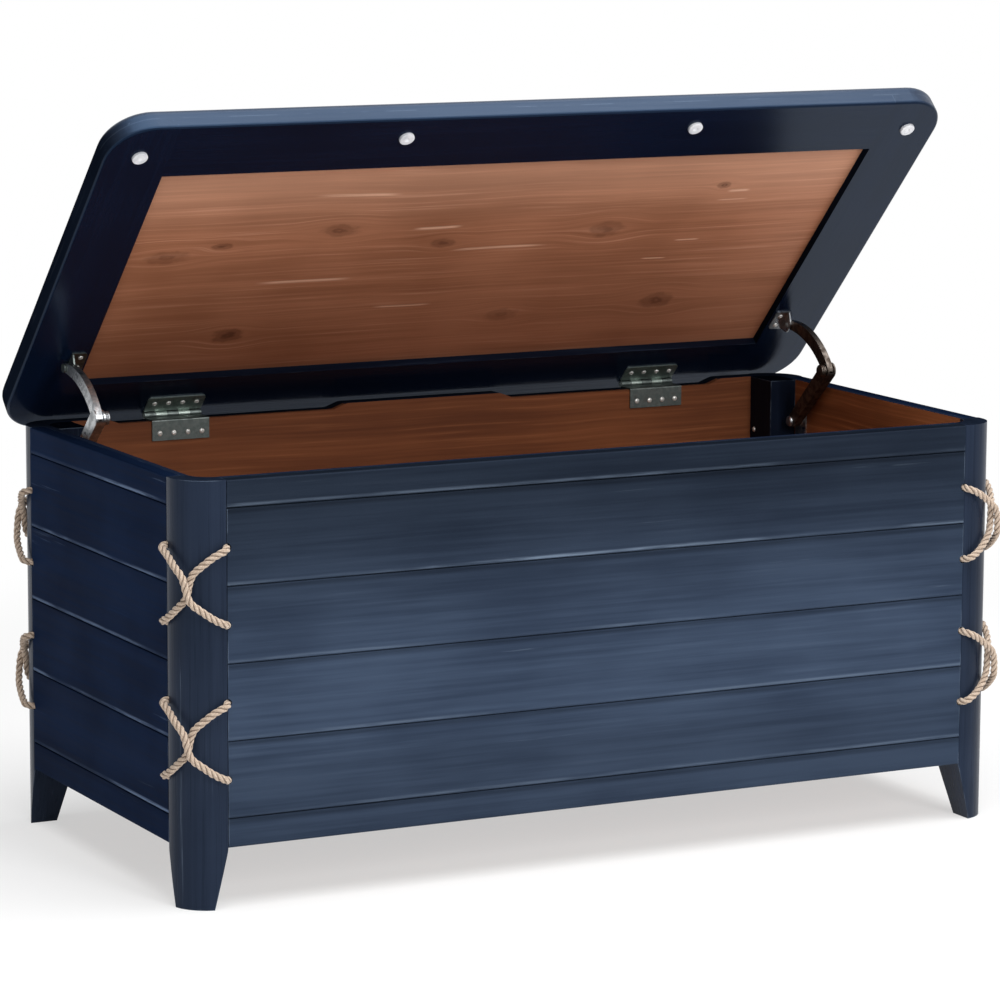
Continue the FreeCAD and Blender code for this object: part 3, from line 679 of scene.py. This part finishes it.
@dataclass(frozen=True)
class SoftPlastic:
    """Matt white plastic with faint moulding grain."""

    name: str
    colour: Colour = srgb(242, 243, 246)
    smudged: Colour = srgb(220, 222, 227)
    relief_depth: float = 0.00005

    def material(self) -> bpy.types.Material:
        """Build the plastic.

        Returns:
            The finished material.
        """
        g = Graph(self.name)
        grain = g.noise(g.place(), 900.0, 3.0)
        smudge = g.band(g.noise(g.place(), 90.0, 3.0), 0.35, 0.7)
        colour = g.mix(smudge, self.colour, self.smudged)
        g.set(Base_Color=colour, Roughness=g.band(grain, 0.3, 0.7, 0.38, 0.5))
        g.relief(grain, self.relief_depth)
        return g.material


@dataclass(frozen=True)
class RopeFibre:
    """Natural rope, pale on the crown of its strands, with brown painted shade between them."""

    name: str
    radius: float = 0.0042
    pale: Colour = srgb(216, 198, 180)
    body: Colour = srgb(188, 166, 146)
    deep: Colour = srgb(112, 90, 74)
    yarn_run: float = 0.12
    yarn_depth: float = 0.0005

    def material(self) -> bpy.types.Material:
        """Build the fibre from the place of each point in its rope.

        Returns:
            The finished material.
        """
        g = Graph(self.name)
        inside = g.add("ShaderNodeAttribute", attribute_name="fibre").outputs["Vector"]
        parts = g.split(inside)
        crown = g.band(g.hypotenuse(parts[0], parts[1]), self.radius * 0.6, self.radius)
        yarn = g.noise(g.mapping(inside, "Scale", (1.0, 1.0, self.yarn_run)), 1500.0, 4.0)
        mottle = g.noise(inside, 130.0, 3.0)
        # Painted shade: darker between the strands than on their crowns
        colour = g.mix(crown, self.deep, self.body)
        colour = g.mix(g.times(g.band(yarn, 0.45, 0.65), crown), colour, self.pale)
        colour = g.mix(g.times(g.band(mottle, 0.55, 0.75), 0.3), colour, self.deep)
        g.set(Base_Color=colour, Roughness=0.85, Specular_IOR_Level=0.15)
        g.set(Sheen_Weight=0.25, Sheen_Roughness=0.6)
        g.relief(yarn, self.yarn_depth)
        return g.material


@dataclass(frozen=True)
class RawWood:
    """Plain sawn softwood of the hidden cleats."""

    name: str
    pale: Colour = srgb(206, 176, 132)
    deep: Colour = srgb(166, 130, 90)
    saw_depth: float = 0.0003

    def material(self) -> bpy.types.Material:
        """Build the wood.

        Returns:
            The finished material.
        """
        g = Graph(self.name)
        figure = g.noise(g.place(Grain.ACROSS.value), 3.0, 5.0)
        pores = g.noise(g.place(Grain.ACROSS.value), 14.0, 3.0)
        colour = g.mix(g.band(figure, 0.35, 0.7), self.pale, self.deep)
        g.set(Base_Color=colour, Roughness=g.band(pores, 0.3, 0.7, 0.6, 0.8))
        g.relief(pores, self.saw_depth)
        return g.material


def assign(piece: bpy.types.Object, material: bpy.types.Material) -> None:
    """Give every material slot of a piece one material.

    Args:
        piece: Mesh object.
        material: Material to show.
    """
    if not piece.material_slots:
        piece.data.materials.append(material)
    for slot in piece.material_slots:
        slot.material = material


def finished(
        name: str, mesh: bpy.types.Mesh, material: bpy.types.Material,
        smooth: bool = True) -> bpy.types.Object:
    """Make a piece of a mesh that is already in its place.

    Args:
        name: Name of the piece.
        mesh: Its mesh.
        material: Its finish.
        smooth: Whether its faces are shaded smooth.

    Returns:
        The new object, at the origin.
    """
    mesh.name = name
    piece = bpy.data.objects.new(name, mesh)
    bpy.context.scene.collection.objects.link(piece)
    if smooth:
        mesh.shade_smooth()
    else:
        mesh.shade_flat()
    assign(piece, material)
    return piece


def opened(point: Vector) -> Vector:
    """Place at rest of a point of the closed lid."""
    return HINGE + Matrix.Rotation(-TILT, 3, "X") @ (point - HINGE)


@dataclass
class Lashings:
    """Rope crosses round the corner posts, laid from three strands."""

    fibre: bpy.types.Material
    half_length: float = 0.542
    half_depth: float = 0.2615
    centre_y: float = -0.009703
    post_width: float = 0.052
    post_round: float = 0.045
    rope_diameter: float = 0.0084
    hole_depth: float = 0.014
    exit_share: float = 1.12
    strands: int = 3
    lay_length: float = 0.024
    strand_radius: float = 0.0022
    strand_offset: float = 0.0022
    strand_roundness: int = 4
    step: float = 0.0014
    line_resolution: int = 24
    heights: tuple[Span, ...] = ((0.4165, 0.3275), (0.2385, 0.1495))
    outer_shares: tuple[Point, ...] = (
        (0.14, 0.09, 1.04), (0.33, 0.24, 1.5), (0.47, 0.35, 1.95),
        (0.53, 0.66, 1.95), (0.67, 0.77, 1.5), (0.86, 0.91, 1.04))
    inner_shares: tuple[Point, ...] = (
        (0.14, 0.09, 0.84), (0.33, 0.24, 0.86), (0.47, 0.35, 0.9),
        (0.53, 0.66, 0.9), (0.67, 0.77, 0.86), (0.86, 0.91, 0.84))

    def posts(self) -> dict[str, Matrix]:
        """Place of each post's outer corner.

        Returns:
            Matrix of each post, by name.
        """
        sides = {"front_left": (0, -1, -1), "front_right": (90, 1, -1),
                 "back_right": (180, 1, 1), "back_left": (270, -1, 1)}
        return {
            name: Matrix.Translation((x * self.half_length, self.centre_y + y * self.half_depth, 0.0))
            @ Matrix.Rotation(math.radians(turn), 4, "Z")
            for name, (turn, x, y) in sides.items()
        }

    def route(self, shares: tuple[Point, ...], top: float, bottom: float) -> list[Vector]:
        """Points that one rope is led by, round a post with its corner at the origin.

        Args:
            shares: Share of the turn, share of the drop and stand-off in diameters of each point.
            top: Height of the first hole.
            bottom: Height of the last hole.

        Returns:
            The points of the route.
        """
        out = self.exit_share * self.rope_diameter
        points = [Vector((self.hole_depth, self.post_width, top)), Vector((-out, self.post_width, top))]
        for turn, drop, standoff in shares:
            angle = QUARTER * turn
            radius = self.post_round + standoff * self.rope_diameter
            across = self.post_round - radius * math.cos(angle)
            inward = self.post_round - radius * math.sin(angle)
            points.append(Vector((across, inward, top + (bottom - top) * drop)))
        for inward in (-out, self.hole_depth):
            points.append(Vector((self.post_width, inward, bottom)))
        return points

    def centreline(self, points: list[Vector]) -> list[Vector]:
        """Evenly spaced points of the smooth line that the route leads.

        Args:
            points: Control points.

        Returns:
            Points at the rope's step.
        """
        curve = bpy.data.curves.new("route", "CURVE")
        curve.dimensions = "3D"
        spline = curve.splines.new("NURBS")
        spline.points.add(len(points) - 1)
        for control, point in zip(spline.points, points):
            control.co = (*point, 1.0)
        spline.order_u = 3
        spline.use_endpoint_u = True
        spline.resolution_u = self.line_resolution
        holder = bpy.data.objects.new("route", curve)
        mesh = bpy.data.meshes.new_from_object(holder)
        line = [vertex.co.copy() for vertex in mesh.vertices]
        bpy.data.objects.remove(holder)
        bpy.data.meshes.remove(mesh)
        return self.spaced(line)

    def spaced(self, line: list[Vector]) -> list[Vector]:
        """The same line with its points at equal steps.

        Args:
            line: Points of the line.

        Returns:
            Points at the rope's step.
        """
        reach = [0.0]
        for before, after in zip(line, line[1:]):
            reach.append(reach[-1] + (after - before).length)
        count = max(2, round(reach[-1] / self.step))
        even, index = [], 0
        for number in range(count + 1):
            goal = reach[-1] * number / count
            while index < len(line) - 2 and reach[index + 1] < goal:
                index += 1
            share = (goal - reach[index]) / max(reach[index + 1] - reach[index], 1e-9)
            even.append(line[index].lerp(line[index + 1], min(share, 1.0)))
        return even

    def frames(self, line: list[Vector]) -> list[Frame]:
        """Two directions across the line at each point, that turn no more than it does.

        Args:
            line: Points of the line.

        Returns:
            Both directions at each point.
        """
        first = (line[1] - line[0]).normalized().orthogonal().normalized()
        made = []
        for before, after in zip([line[0]] + line, line[1:] + [line[-1]]):
            tangent = (after - before).normalized()
            first = (first - tangent * first.dot(tangent)).normalized()
            made.append((first.copy(), tangent.cross(first)))
        return made

    def rope(self, place: Matrix, name: str) -> bpy.types.Object:
        """Four ropes of one post, as one piece.

        Args:
            place: Place of the post's outer corner.
            name: Name of the piece.

        Returns:
            The piece.
        """
        curve = bpy.data.curves.new(name, "CURVE")
        curve.dimensions = "3D"
        curve.bevel_depth = self.strand_radius
        curve.bevel_resolution = self.strand_roundness
        curve.use_fill_caps = True
        samples = []
        for top, bottom in self.heights:
            for start, end, shares in ((top, bottom, self.outer_shares), (bottom, top, self.inner_shares)):
                line = [place @ point for point in self.centreline(self.route(shares, start, end))]
                across = self.frames(line)
                samples += [(line[i], *across[i], i * self.step) for i in range(len(line))]
                for strand in range(self.strands):
                    self.lay(curve, line, across, strand)
        holder = bpy.data.objects.new(name, curve)
        mesh = bpy.data.meshes.new_from_object(holder)
        bpy.data.objects.remove(holder)
        self.mark(mesh, samples)
        return finished(name, mesh, self.fibre)

    def lay(self, curve: bpy.types.Curve, line: list[Vector], across: list[Frame], strand: int) -> None:
        """Wind one strand about the rope's line.

        Args:
            curve: Curve that takes the strand.
            line: Points of the rope's line.
            across: Directions across it.
            strand: Number of the strand.
        """
        spline = curve.splines.new("POLY")
        spline.points.add(len(line) - 1)
        for index, (centre, (first, second)) in enumerate(zip(line, across)):
            angle = 2.0 * math.pi * (index * self.step / self.lay_length + strand / self.strands)
            offset = (first * math.cos(angle) + second * math.sin(angle)) * self.strand_offset
            spline.points[index].co = (*(centre + offset), 1.0)

    def mark(self, mesh: bpy.types.Mesh, samples: list[tuple[Vector, Vector, Vector, float]]) -> None:
        """Note on each vertex where it lies in its rope: two offsets from the middle, and the way along.

        Args:
            mesh: Mesh of the ropes.
            samples: Centre, two directions and way along, at every step of every rope.
        """
        tree = KDTree(len(samples))
        for index, (centre, _, _, _) in enumerate(samples):
            tree.insert(centre, index)
        tree.balance()
        places = []
        for vertex in mesh.vertices:
            _, index, _ = tree.find(vertex.co)
            centre, first, second, way = samples[index]
            off = vertex.co - centre
            places += [off.dot(first), off.dot(second), way + off.dot(first.cross(second))]
        mesh.attributes.new("fibre", "FLOAT_VECTOR", "POINT").data.foreach_set("vector", places)

    def build(self) -> None:
        """Lash all four posts."""
        for name, place in self.posts().items():
            piece = self.rope(place, f"{name}_rope_crosses")
            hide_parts(f"{name}_lashings")
            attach(piece, "case")
            log.info("%s: %d faces", piece.name, len(piece.data.polygons))


@dataclass
class Screws:
    """Round-head screws with a cross recess."""

    steel: bpy.types.Material
    head_radius: float = 0.0033
    head_height: float = 0.0017
    shank_radius: float = 0.0016
    seat_depth: float = 0.002
    dome_steps: int = 8
    spin_steps: int = 24
    recess_width: float = 0.00085
    recess_reach: float = 0.0021
    recess_depth: float = 0.0011
    recess_taper: Point = (0.45, 0.8, 1.0)
    driver_rise: float = 0.001
    turn_step: float = 0.9
    hinge_places: tuple[float, ...] = (0.307, 0.325667, 0.344333, 0.363)
    case_leaf_reach: float = 0.028
    case_leaf_height: float = 0.471
    wall_plate_seat: Span = (0.514, 0.095)
    wall_plate_drops: Span = (0.034, 0.074)
    block_seat: Point = (0.479, 0.215797, 0.424)
    lid_leaf_reach: float = 0.019
    lid_seat_rise: float = 0.0022
    bracket_place: float = 0.4885
    bracket_reaches: Span = (0.121, 0.103)

    def head(self) -> bmesh.types.BMesh:
        """One screw about Z, its seat at the origin.

        Returns:
            The screw's mesh.
        """
        body = bmesh.new()
        profile = [(0.0, -self.seat_depth), (self.shank_radius, -self.seat_depth)]
        profile += [(self.shank_radius, 0.0), (self.head_radius, 0.0)]
        for step in range(1, self.dome_steps + 1):
            angle = QUARTER * step / self.dome_steps
            profile.append((self.head_radius * math.cos(angle), self.head_height * math.sin(angle)))
        points = [body.verts.new((radius, 0.0, height)) for radius, height in profile]
        for before, after in zip(points, points[1:]):
            body.edges.new((before, after))
        bmesh.ops.spin(body, geom=[*body.verts, *body.edges], cent=(0, 0, 0), axis=(0, 0, 1),
                       angle=2 * math.pi, steps=self.spin_steps, use_merge=True)
        bmesh.ops.remove_doubles(body, verts=body.verts, dist=1e-6)
        bmesh.ops.recalc_face_normals(body, faces=body.faces)
        return self.recessed(body)

    def recessed(self, body: bmesh.types.BMesh) -> bmesh.types.BMesh:
        """Cut a tapered cross into a screw's crown.

        Args:
            body: Mesh of the screw.

        Returns:
            The cut screw.
        """
        holders = []
        for label, source in (("screw", body), ("driver", self.driver())):
            mesh = bpy.data.meshes.new(label)
            source.to_mesh(mesh)
            source.free()
            holder = bpy.data.objects.new(label, mesh)
            bpy.context.scene.collection.objects.link(holder)
            holders.append(holder)
        cut = holders[0].modifiers.new("recess", "BOOLEAN")
        cut.operation = "DIFFERENCE"
        cut.solver = "EXACT"
        cut.use_self = True
        cut.object = holders[1]
        result = bmesh.new()
        result.from_object(holders[0], bpy.context.evaluated_depsgraph_get())
        for holder in holders:
            bpy.data.objects.remove(holder)
        return result

    def driver(self) -> bmesh.types.BMesh:
        """Shape the tapered cross that a driver leaves.

        Returns:
            The cross, about the axis of the screw.
        """
        cross = bmesh.new()
        low = self.head_height - self.recess_depth
        high = self.head_height + self.driver_rise
        for turn in (0.0, QUARTER):
            made = bmesh.ops.create_cube(cross, size=1.0)["verts"]
            bmesh.ops.scale(cross, verts=made, vec=(2 * self.recess_reach, self.recess_width, high - low))
            bmesh.ops.translate(cross, verts=made, vec=(0.0, 0.0, (low + high) / 2))
            floor = [vert for vert in made if vert.co.z < self.head_height]
            bmesh.ops.scale(cross, verts=floor, vec=self.recess_taper)
            bmesh.ops.rotate(cross, verts=made, cent=(0, 0, 0), matrix=Matrix.Rotation(turn, 3, "Z"))
        return cross

    def drive(self, name: str, node: str, body: str, seats: list[Seat]) -> None:
        """Set all the screws of one node, each turned a little further than the last.

        Args:
            name: Name of the piece.
            node: Node that it stands for.
            body: Body that it rides on.
            seats: Point under each head, and the direction that the head faces.
        """
        head = self.head()
        pattern = bpy.data.meshes.new("pattern")
        head.to_mesh(pattern)
        head.free()
        whole = bmesh.new()
        for number, (point, direction) in enumerate(seats):
            before = set(whole.verts)
            whole.from_mesh(pattern)
            turn = Matrix.Rotation(number * self.turn_step, 4, "Z")
            stand = direction.to_track_quat("Z", "Y").to_matrix().to_4x4()
            bmesh.ops.transform(whole, matrix=Matrix.Translation(point) @ stand @ turn,
                                verts=[vert for vert in whole.verts if vert not in before])
        mesh = bpy.data.meshes.new(name)
        whole.to_mesh(mesh)
        whole.free()
        piece = finished(name, mesh, self.steel, smooth=False)
        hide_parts(node)
        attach(piece, body)
        log.info("%s: %d screws", name, len(seats))

    def case_seats(self, side: int) -> list[Seat]:
        """Seats in one half of the case: hinge leaf, wall bracket and corner block.

        Args:
            side: 1 for the right half, -1 for the left one.

        Returns:
            Point and direction of each screw.
        """
        inward = Vector((-side, 0, 0))
        forward = Vector((0, -1, 0))
        leaf_y = HINGE.y - self.case_leaf_reach
        seats = [(Vector((side * x, leaf_y, self.case_leaf_height)), forward) for x in self.hinge_places]
        plate_x, plate_reach = self.wall_plate_seat
        for drop in self.wall_plate_drops:
            seats.append((Vector((side * plate_x, HINGE.y - plate_reach, HINGE.z - drop)), inward))
        block_x, block_y, block_z = self.block_seat
        return seats + [(Vector((side * block_x, block_y, block_z)), inward)]

    def lid_seats(self, side: int) -> list[Seat]:
        """Seats in one half of the lid: hinge leaf and stay bracket.

        Args:
            side: 1 for the right half, -1 for the left one.

        Returns:
            Point and direction of each screw.
        """
        down = Matrix.Rotation(-TILT, 3, "X") @ Vector((0, 0, -1))
        places = [(x, self.lid_leaf_reach) for x in self.hinge_places]
        places += [(self.bracket_place, reach) for reach in self.bracket_reaches]
        rise = HINGE.z + self.lid_seat_rise
        return [(opened(Vector((side * x, HINGE.y - reach, rise))), down) for x, reach in places]

    def build(self) -> None:
        """Drive the screws of the case and of the lid."""
        case_seats = self.case_seats(1) + self.case_seats(-1)
        lid_seats = self.lid_seats(1) + self.lid_seats(-1)
        self.drive("case_cross_head_screws", "case_screws", "case", case_seats)
        self.drive("lid_cross_head_screws", "lid_screws", "lid", lid_seats)


@dataclass
class Dressing:
    """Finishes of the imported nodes, which keep their shapes."""

    nodes: dict[str, bpy.types.Object]
    panel_knots: tuple[Knot, ...]
    panel_flecks: tuple[Fleck, ...]
    rim_height: float = 0.493

    def dress(self, finish: bpy.types.Material, *names: str) -> None:
        """Give nodes a finish.

        Args:
            finish: Material to show.
            *names: Names of the nodes.
        """
        for name in names:
            assign(self.nodes[name], finish)
            log.info("%s: %s", name, finish.name)

    def case(self) -> None:
        """Paint the boards and posts and line the case."""
        boards = ("top_strip", *(f"plank_{row}" for row in range(1, 5)), "bottom_strip")
        # The long boards are darker towards their top and foot: painted shade
        across = NavyPaint("navy_paint_on_long_boards", Grain.ACROSS, planked=True, top_light=0.33).material()
        # The end boards get a darker, less glossy copy of the navy paint: painted shade on the side walls
        deep = NavyPaint(
            "navy_paint_on_end_boards", Grain.DEEP, planked=True,
            deep=srgb(16, 28, 51), body=srgb(23, 38, 66), worn=srgb(34, 50, 78), bare=srgb(108, 126, 156),
            gloss=0.005, seam_wear=1.0, other_seams=1.0, seam_shadow_share=0.1).material()
        upright = NavyPaint(
            "navy_paint_on_posts", Grain.UPRIGHT,
            deep=srgb(24, 32, 47), body=srgb(36, 45, 62), gloss=0.13, roughness=0.3).material()
        # The rear corner blocks get a near-black copy of the navy paint: painted shade inside the chest
        dark = NavyPaint(
            "navy_paint_on_blocks", Grain.UPRIGHT,
            deep=srgb(8, 13, 24), body=srgb(12, 18, 32), gloss=0.1).material()
        # The long walls' linings get a darker copy of the cedar and the short walls' linings a lighter one,
        # painted shade and painted light; the floor takes the lighter copy
        long_tones = {"pale": srgb(168, 108, 68), "body": srgb(130, 76, 44), "deep": srgb(96, 52, 28)}
        short_tones = {"pale": srgb(196, 132, 86), "body": srgb(160, 98, 60), "deep": srgb(116, 68, 40)}
        cedar = partial(Cedar, rim=self.rim_height)
        long_cedar = cedar("cedar_lining_long", Grain.ACROSS, **long_tones).material()
        short_cedar = cedar("cedar_lining_short", Grain.DEEP, **short_tones).material()
        floor_cedar = cedar("cedar_floor", Grain.ACROSS, flat=True, **short_tones).material()
        for wall in Wall:
            long = wall in (Wall.FRONT, Wall.BACK)
            self.dress(across if long else deep, *(f"{wall.value}_{board}" for board in boards))
            self.dress(long_cedar if long else short_cedar, f"{wall.value}_lining")
        self.dress(upright, *(name for name in self.nodes if name.endswith("_post")))
        self.dress(dark, "rear_corner_blocks")
        self.dress(floor_cedar, "floor_panel")
        self.dress(RawWood("sawn_softwood").material(), "floor_cleats")

    def lid(self) -> None:
        """Paint the lid's frame and finish its cedar panel."""
        # The lid's paint; its near-black under colour is painted shade on the underside
        slate = {"deep": srgb(24, 32, 48), "body": srgb(32, 42, 60), "under": srgb(7, 16, 33),
                 "tint": srgb(150, 200, 255), "wear": 0.14, "roughness": 0.36, "gloss": 0.36}
        across = NavyPaint("navy_paint_on_lid", Grain.ACROSS, TILT, **slate).material()
        deep = NavyPaint("navy_paint_on_stiles", Grain.DEEP, TILT, **slate).material()
        # The rear rail gets a darker copy of the lid's paint: painted shade
        slate |= {"deep": srgb(9, 15, 29), "body": srgb(14, 21, 37), "gloss": 0.2}
        rear = NavyPaint("navy_paint_on_rear_rail", Grain.ACROSS, TILT, **slate).material()
        panel = Cedar("cedar_panel", Grain.ACROSS, TILT, self.panel_knots, self.panel_flecks, lit_gradient=True)
        self.dress(across, "lid_top_board", "lid_front_rail")
        self.dress(rear, "lid_rear_rail")
        self.dress(deep, "lid_left_stile", "lid_right_stile")
        self.dress(panel.material(), "lid_cedar_panel")
        self.dress(SoftPlastic("white_plastic").material(), "lid_bumpers")

    def hardware(self) -> None:
        """Plate the hinges and the stays."""
        dull = Metal("dull_zinc", srgb(108, 115, 113), srgb(88, 95, 93), 0.4).material()
        pale = Metal("pale_zinc", srgb(164, 174, 168), srgb(136, 147, 141), 0.36).material()
        # The stays are one plated steel: the bright copy is painted light on the left stay and the right
        # stay's brackets, the darker copy painted shade on the right stay's arms
        bright = Metal("bright_zinc", srgb(188, 190, 192), srgb(140, 143, 146), 0.3, Grain.UPRIGHT).material()
        shaded_zinc = Metal("zinc_in_painted_shade", srgb(104, 96, 90), srgb(70, 62, 56), 0.36, Grain.UPRIGHT).material()
        self.dress(dull, "hinge_case_leaves", "left_stay_lid_bracket")
        self.dress(pale, "hinge_lid_leaves", "hinge_pins")
        self.dress(bright, "left_stay_wall_bracket", "left_stay_lower_arm", "left_stay_upper_arm")
        self.dress(bright, "right_stay_wall_bracket", "right_stay_lid_bracket")
        self.dress(shaded_zinc, "right_stay_lower_arm", "right_stay_upper_arm")


def seen_rays(tree: bpy.types.NodeTree) -> Socket:
    """Share that is 1 for what the camera sees, also in gloss and through glass.

    Args:
        tree: Nodes of the material or the world.

    Returns:
        The share.
    """
    ray = tree.nodes.new("ShaderNodeLightPath").outputs
    seen = ray["Is Camera Ray"]
    for kind in ("Is Glossy Ray", "Is Transmission Ray"):
        either = tree.nodes.new("ShaderNodeMath")
        either.operation = "MAXIMUM"
        tree.links.new(seen, either.inputs[0])
        tree.links.new(ray[kind], either.inputs[1])
        seen = either.outputs[0]
    return seen


@dataclass(frozen=True)
class Lamp:
    """A soft oblong lamp, with its power in watts."""

    name: str
    place: Point
    aim: Point
    width: float
    height: float
    power: float

    def hang(self) -> None:
        """Hang the lamp so that it faces its aim."""
        light = bpy.data.lights.new(self.name, "AREA")
        light.shape = "RECTANGLE"
        light.size, light.size_y = self.width, self.height
        light.energy = self.power
        lamp = bpy.data.objects.new(self.name, light)
        facing = (Vector(self.aim) - Vector(self.place)).to_track_quat("-Z", "Y")
        lamp.matrix_world = Matrix.Translation(self.place) @ facing.to_matrix().to_4x4()
        bpy.context.scene.collection.objects.link(lamp)


@dataclass
class Studio:
    """White floor, soft lamps and the camera."""

    location: Point = (-2.42047, -4.689583, 1.26056)
    yaw: float = -0.4751957
    pitch: float = 0.1624743
    roll: float = 0.0045875
    lens: float = 157.188
    sensor_width: float = 36.0
    clip: Span = (0.1, 200.0)
    floor_reach: float = 60.0
    floor_colour: Colour = (0.92, 0.92, 0.92)
    clear_stretch: Point = (0.8, 1.0, 1.0)
    clear_span: Span = (0.9, 1.9)
    clear_least: float = 0.55
    room_light: float = 0.15
    lamps: tuple[Lamp, ...] = (
        Lamp("key", (0.5, -4.6, 2.2), (0.0, 0.0, 0.4), 1.2, 1.6, 80.0),
        Lamp("ceiling", (0.3, -1.0, 3.6), (0.2, -0.6, 0.0), 4.6, 3.6, 215.0),
    )

    def camera(self) -> None:
        """Set the camera at the viewing angle of the photograph."""
        level = math.cos(self.pitch)
        ahead = Vector((-math.sin(self.yaw) * level, math.cos(self.yaw) * level, -math.sin(self.pitch)))
        side = Vector((math.cos(self.yaw), math.sin(self.yaw), 0.0))
        up = side.cross(ahead)
        right = side * math.cos(self.roll) + up * math.sin(self.roll)
        top = up * math.cos(self.roll) - side * math.sin(self.roll)
        camera = bpy.data.objects.new("camera", bpy.data.cameras.new("camera"))
        camera.data.lens = self.lens
        camera.data.sensor_width = self.sensor_width
        camera.data.clip_start, camera.data.clip_end = self.clip
        turn = Matrix((right, top, -ahead)).transposed().to_4x4()
        camera.matrix_world = Matrix.Translation(self.location) @ turn
        bpy.context.scene.collection.objects.link(camera)
        bpy.context.scene.camera = camera

    def floor(self) -> None:
        """Lay a plain white floor that keeps the chest's shadow and clears to white round it."""
        slab = bmesh.new()
        bmesh.ops.create_grid(slab, x_segments=1, y_segments=1, size=self.floor_reach)
        mesh = bpy.data.meshes.new("floor")
        slab.to_mesh(mesh)
        slab.free()
        g = Graph("white_floor")
        g.set(Base_Color=self.floor_colour, Roughness=0.9, Specular_IOR_Level=0.0)
        far = g.add("ShaderNodeVectorMath", operation="LENGTH")
        g.feed(far.inputs[0], g.place(self.clear_stretch))
        clear = g.band(far.outputs["Value"], *self.clear_span, self.clear_least, 1.0)
        white = g.add("ShaderNodeEmission")
        white.inputs["Color"].default_value = WHITE
        blend = g.add("ShaderNodeMixShader")
        g.feed(blend.inputs[0], g.times(seen_rays(g.material.node_tree), clear))
        g.feed(blend.inputs[1], g.shader.outputs[0])
        g.feed(blend.inputs[2], white.outputs[0])
        output = g.material.node_tree.nodes["Material Output"]
        g.feed(output.inputs["Surface"], blend.outputs[0])
        finished("floor", mesh, g.material, smooth=False)

    def world(self) -> None:
        """Fill the room with a dim even light that looks white."""
        world = bpy.data.worlds.new("room")
        world.use_nodes = True
        tree = world.node_tree
        level = tree.nodes.new("ShaderNodeMapRange")
        level.inputs["To Min"].default_value = self.room_light
        level.inputs["To Max"].default_value = 1.0
        tree.links.new(seen_rays(tree), level.inputs["Value"])
        background = tree.nodes["Background"]
        background.inputs["Color"].default_value = WHITE
        tree.links.new(level.outputs[0], background.inputs["Strength"])
        bpy.context.scene.world = world

    def build(self) -> None:
        """Set up the whole studio."""
        bpy.context.scene.view_settings.view_transform = "Standard"
        self.camera()
        self.floor()
        self.world()
        for lamp in self.lamps:
            lamp.hang()


def panel_knots() -> tuple[Knot, ...]:
    """Knots of the lid's cedar panel, by their place across and forward of the hinge axis."""
    return (
        Knot(-0.421, -0.289, 0.012, 0.5, 2.4),
        Knot(-0.207, -0.325, 0.012, 0.6, 2.2),
        Knot(-0.058, -0.292, 0.009, 0.62, 2.0),
        Knot(0.164, -0.304, 0.015, 0.52, 1.7),
        Knot(0.294, -0.155, 0.016, 0.62, 1.6),
        Knot(-0.296, -0.132, 0.014, 0.78, 1.6),
        Knot(0.302, -0.379, 0.007, 0.7, 1.4),
        Knot(-0.355, -0.305, 0.006, 0.7, 2.4),
        Knot(0.075, -0.144, 0.012, 0.4, 2.0),
    )


def panel_flecks() -> tuple[Fleck, ...]:
    """Pale flecks of the lid's cedar panel, placed as its knots are."""
    thin = 0.0016
    return (
        Fleck(-0.266, -0.14, -0.39),
        Fleck(-0.111, -0.039, -0.323),
        Fleck(-0.047, 0.094, -0.277),
        Fleck(-0.293, -0.156, -0.232),
        Fleck(-0.118, -0.03, -0.172),
        Fleck(0.309, 0.345, -0.369),
        Fleck(0.3, 0.35, -0.352, thin),
        Fleck(0.235, 0.275, -0.24, thin),
        Fleck(0.27, 0.31, -0.275, thin),
    )


def main() -> None:
    """Build the chest's looks in order."""
    logging.basicConfig(level=logging.INFO, format="%(message)s")
    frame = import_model()
    dressing = Dressing(frame["nodes"], panel_knots(), panel_flecks())
    dressing.case()
    dressing.lid()
    dressing.hardware()
    Lashings(RopeFibre("natural_rope").material()).build()
    steel = Metal("screw_steel", srgb(236, 236, 232), srgb(206, 206, 202), roughness=0.3, metallic=0.35)
    Screws(steel.material()).build()
    Studio().build()


if __name__ == "__main__":
    main()
